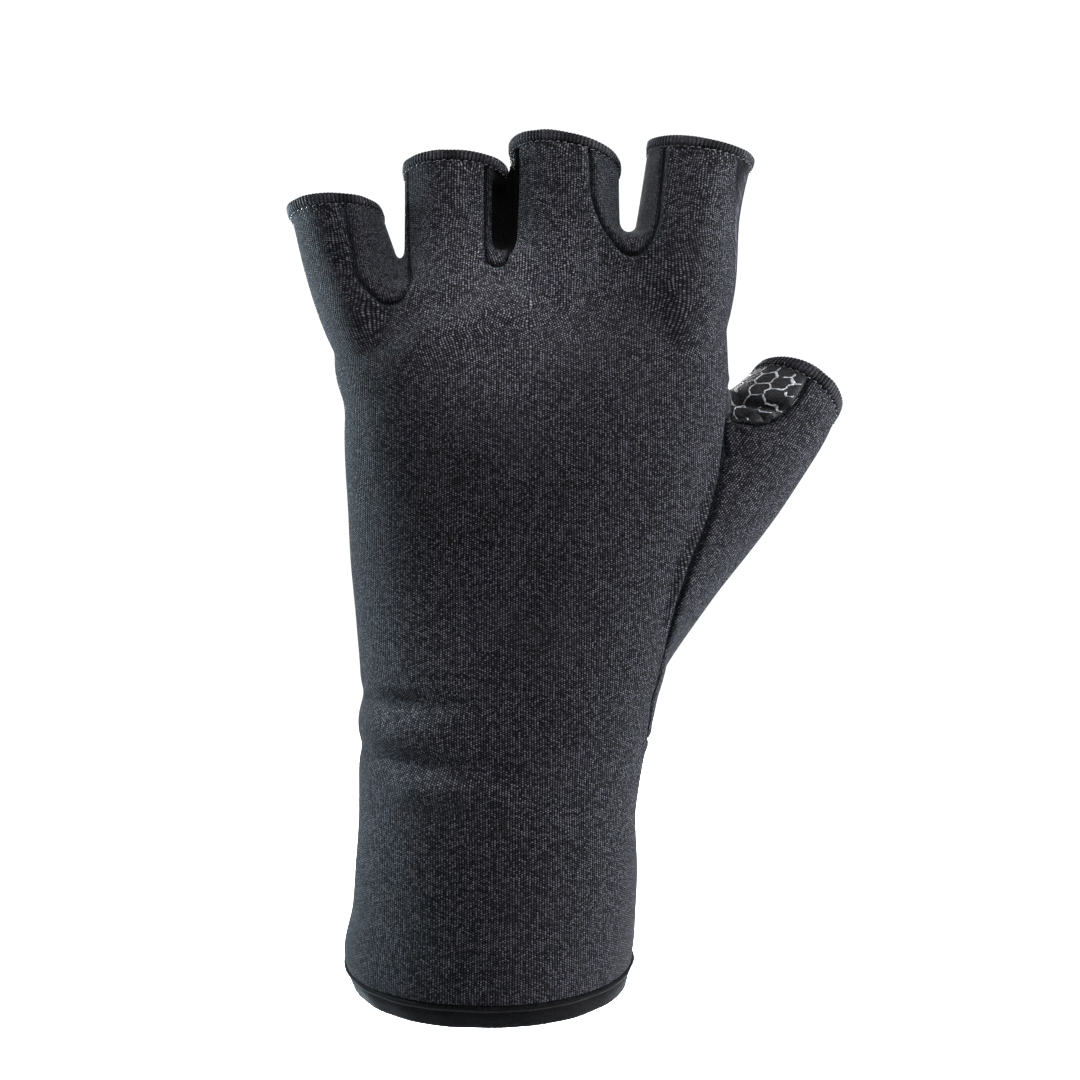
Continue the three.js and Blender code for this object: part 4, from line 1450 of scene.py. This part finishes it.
def laid_on_skin(places, palm_faces):
    flat_points = [(u, v, 0.0) for u, v in palm_flat.tolist()]
    flat_tree = BVHTree.FromPolygons(flat_points, palm_faces.tolist())
    hits = [flat_tree.find_nearest((u, v, 0.0), 0.02)[2] for u, v in places.tolist()]
    found = np.array([hit is not None for hit in hits])
    corner = palm_faces[np.array([hit or 0 for hit in hits])]
    one = palm_flat[corner[:, 1]] - palm_flat[corner[:, 0]]
    two = palm_flat[corner[:, 2]] - palm_flat[corner[:, 0]]
    rest = places - palm_flat[corner[:, 0]]
    area = one[:, 0] * two[:, 1] - one[:, 1] * two[:, 0]
    area = np.where(np.abs(area) < 1e-9, 1e-9, area)
    b = (rest[:, 0] * two[:, 1] - rest[:, 1] * two[:, 0]) / area
    c = (one[:, 0] * rest[:, 1] - one[:, 1] * rest[:, 0]) / area
    weight = np.clip(np.stack([1 - b - c, b, c], axis=1), 0, 1)
    weight = (weight / weight.sum(axis=1, keepdims=True))[:, :, None]
    found &= (distance[corner] * weight[:, :, 0]).sum(axis=1) > PRINT_MARGIN
    place = (outer[corner] * weight).sum(axis=1)
    outwards = (normals[corner] * weight).sum(axis=1)
    return place, outwards, found


# %% The lines of the honeycomb, three for each cell, each with its own wear
# The ends of a line run on a little, meet or are worn back, by shares of its length.
END_WEAR = [-0.06, 0.0, 0.35]
END_CHANCE = [0.72, 0.18, 0.1]
LOST_LINES = 0.07


def honeycomb(low, high, chance):
    radius = PRINT_CELL / math.sqrt(3)
    pitch = np.array([1.5 * radius, PRINT_CELL])
    first = np.floor(low / pitch).astype(int)
    last = np.ceil(high / pitch).astype(int)
    corner_turns = np.radians([0, 60, 120, 180])
    hexagon = radius * np.stack([np.cos(corner_turns), np.sin(corner_turns)], axis=1)
    lines = []
    for column in range(first[0], last[0] + 1):
        for row in range(first[1], last[1] + 1):
            corners = hexagon + pitch * (column, row + 0.5 * (column % 2))
            for start, end in zip(corners[:-1], corners[1:]):
                width = PRINT_WIDTH * chance.uniform(0.7, 1.25)
                worn_start, worn_end = chance.choice(END_WEAR, 2, p=END_CHANCE)
                if chance.random() > LOST_LINES:
                    step = end - start
                    lines.append((start + step * worn_start, end - step * worn_end, width))
    return lines


# %% Lay each line on the skin as a closed low bar
def printed_bars(lines, palm_faces, kept, longest_step):
    share = np.linspace(0, 1, PRINT_STEPS)[:, None]
    places = []
    for start, end, width in lines:
        side = np.array([start[1] - end[1], end[0] - start[0]])
        side = side / np.linalg.norm(side) * width / 2
        middle = start * (1 - share) + end * share
        places += [middle + side * aside for aside in (-1, -0.55, 0, 0.55, 1)]
    skin_points, outwards, found = laid_on_skin(np.concatenate(places), palm_faces)
    profile = np.array([-PRINT_SUNK, PRINT_RISE * 0.85, PRINT_RISE, PRINT_RISE * 0.85, -PRINT_SUNK])
    shape = (len(lines), len(profile), PRINT_STEPS)
    risen = outwards.reshape(shape + (3,)) * profile[:, None, None]
    bars = skin_points.reshape(shape + (3,)) + risen
    found = found.reshape(shape).all(axis=1)
    points = []
    faces = []
    for bar, good in zip(bars, found):
        if good.sum() < 2 or not good[np.argmax(good):np.argmax(good) + good.sum()].all():
            continue
        bar = bar[:, good]
        longest = np.linalg.norm(np.diff(bar[2], axis=0), axis=1).max()
        widest = np.linalg.norm(bar[4] - bar[0], axis=1).max()
        if max(longest, widest) > longest_step or not kept(bar.mean(axis=(0, 1))):
            continue
        count = bar.shape[1]
        base = len(points)
        points += bar.reshape(-1, 3).tolist()
        for a in range(len(profile)):
            b = (a + 1) % len(profile)
            for step in range(count - 1):
                faces.append((base + a * count + step, base + a * count + step + 1,
                              base + b * count + step + 1, base + b * count + step))
        faces.append(tuple(base + a * count for a in range(len(profile))))
        faces.append(tuple(base + a * count + count - 1 for a in reversed(range(len(profile)))))
    return points, faces


def print_on(palm_faces, kept, longest_step, seed):
    places = palm_flat[np.unique(palm_faces)]
    lines = honeycomb(places.min(axis=0), places.max(axis=0), np.random.default_rng(seed))
    return printed_bars(lines, palm_faces, kept, longest_step)


# %% Print on the hand, then on the thumb, whose cloth lies flat on its own
def on_the_hand(place):
    return place[0] < THUMB_ROOT_X and place[2] > PRINT_LOWEST


def on_the_thumb(place):
    return place[0] >= THUMB_ROOT_X


face_x = skin[palm_faces].mean(axis=1)[:, 0]
hand_faces = palm_faces[face_x < THUMB_ROOT_X + CHART_OVERLAP]
thumb_faces = palm_faces[face_x > THUMB_ROOT_X - CHART_OVERLAP]
points, faces = print_on(hand_faces, on_the_hand, HAND_BAR_STEP, SEED)
thumb_points, thumb_bars = print_on(thumb_faces, on_the_thumb, THUMB_BAR_STEP, SEED + 1)
faces += [tuple(corner + len(points) for corner in face) for face in thumb_bars]
honeycomb_print = smooth_object("palm_panel_print", points + thumb_points, faces)
dress(turned_out(honeycomb_print), print_finish)
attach(honeycomb_print, "root")
print(honeycomb_print.name, len(faces), "faces")

# %% [markdown]
# ## The camera
# The photo is taken level and straight on, and the outline of the cuff and of all the
# openings fits one camera, 270 mm in front of the glove's middle. It is placed by these
# numbers and not aimed by hand, so that every piece lies where the photo shows it.

# %% The camera of the photo
CAMERA_PLACE = (12.5, -270, 108.25)
CAMERA_LENS = 36
CAMERA_SENSOR = 36
camera_data = bpy.data.cameras.new("camera")
camera_data.lens = CAMERA_LENS
camera_data.sensor_width = CAMERA_SENSOR
camera = placed("camera", camera_data)
camera.location = Vector(CAMERA_PLACE) * MM
camera.rotation_euler = (math.pi / 2, 0, 0)
bpy.context.scene.camera = camera

# %% [markdown]
# ## Floor and light
# The glove hangs in front of white, as if on a light table. One big lamp would light it
# evenly, but black cloth shows its form only by the light along its sides. So a white
# world gives the ground, lamps at the left and right brighten the edges, and two small
# spots from above bring out the knuckles and the folds of the wrist.

# %% The ground: a white world and a pale floor below the cuff
WORLD_STRENGTH = 1.1
FLOOR_HEIGHT = -0.04
FLOOR_REACH = 3
bpy.context.scene.view_settings.view_transform = "Standard"
world = bpy.data.worlds.new("studio")
bpy.context.scene.world = world
world.use_nodes = True
world.node_tree.nodes["Background"].inputs["Color"].default_value = (1, 1, 1, 1)
world.node_tree.nodes["Background"].inputs["Strength"].default_value = WORLD_STRENGTH

floor_corners = [(x * FLOOR_REACH, y * FLOOR_REACH, FLOOR_HEIGHT)
                 for x, y in ((-1, -1), (1, -1), (1, 1), (-1, 1))]
floor = placed("floor", mesh_from("floor", floor_corners, [(0, 1, 2, 3)]))
floor_finish = Finish("floor", Roughness=0.9, Specular_IOR_Level=0.1)
dress(floor, floor_finish.feed(Base_Color=(0.93, 0.93, 0.93)))

# %% Lamps, in metres: place, aim, width, height, power and colour
LAMPS = {
    "over_the_knuckles": ((0.01, -0.12, 0.30), (0.01, 0, 0.16), 0.10, 0.06, 1.1, (1.0, 0.985, 0.97)),
    "over_the_thumb": ((0.10, -0.10, 0.27), (0.02, 0, 0.15), 0.06, 0.06, 0.9, (1.0, 0.99, 0.98)),
    "left_rim": ((-0.20, 0.05, 0.17), (-0.03, 0, 0.13), 0.05, 0.14, 6.5, (0.76, 0.94, 1.0)),
    "right": ((0.47, -0.05, 0.16), (0, 0, 0.1), 0.15, 0.5, 19.0, (0.98, 0.98, 1.0)),
    "right_low": ((0.26, -0.02, 0.06), (0.04, 0, 0.06), 0.05, 0.25, 2.2, (0.95, 0.98, 1.0)),
    "palm_side": ((-0.10, 0.45, 0.35), (0, 0, 0.1), 0.3, 0.3, 8.0, (1.0, 0.99, 0.98)),
}
# Spots: place, aim, angle in degrees and power.
SPOTS = {
    "knuckle_spot": ((-0.03, -0.30, 0.36), (0.002, -0.02, 0.166), 9.5, 54.0),
    "wrist_spot": ((-0.02, -0.085, 0.17), (-0.014, -0.02, 0.057), 26.0, 3.0),
}
SPOT_SOFTNESS = 0.012


def hung(name, data, place, aim):
    made = placed(name, data)
    made.location = place
    made.rotation_euler = (Vector(aim) - Vector(place)).to_track_quat("-Z", "Y").to_euler()


for name, (place, aim, width, height, power, colour) in LAMPS.items():
    data = bpy.data.lights.new(name, "AREA")
    data.shape = "RECTANGLE"
    data.size = width
    data.size_y = height
    data.energy = power
    data.color = colour
    hung(name, data, place, aim)

for name, (place, aim, angle, power) in SPOTS.items():
    data = bpy.data.lights.new(name, "SPOT")
    data.energy = power
    data.spot_size = math.radians(angle)
    data.spot_blend = 1.0
    data.shadow_soft_size = SPOT_SOFTNESS
    hung(name, data, place, aim)
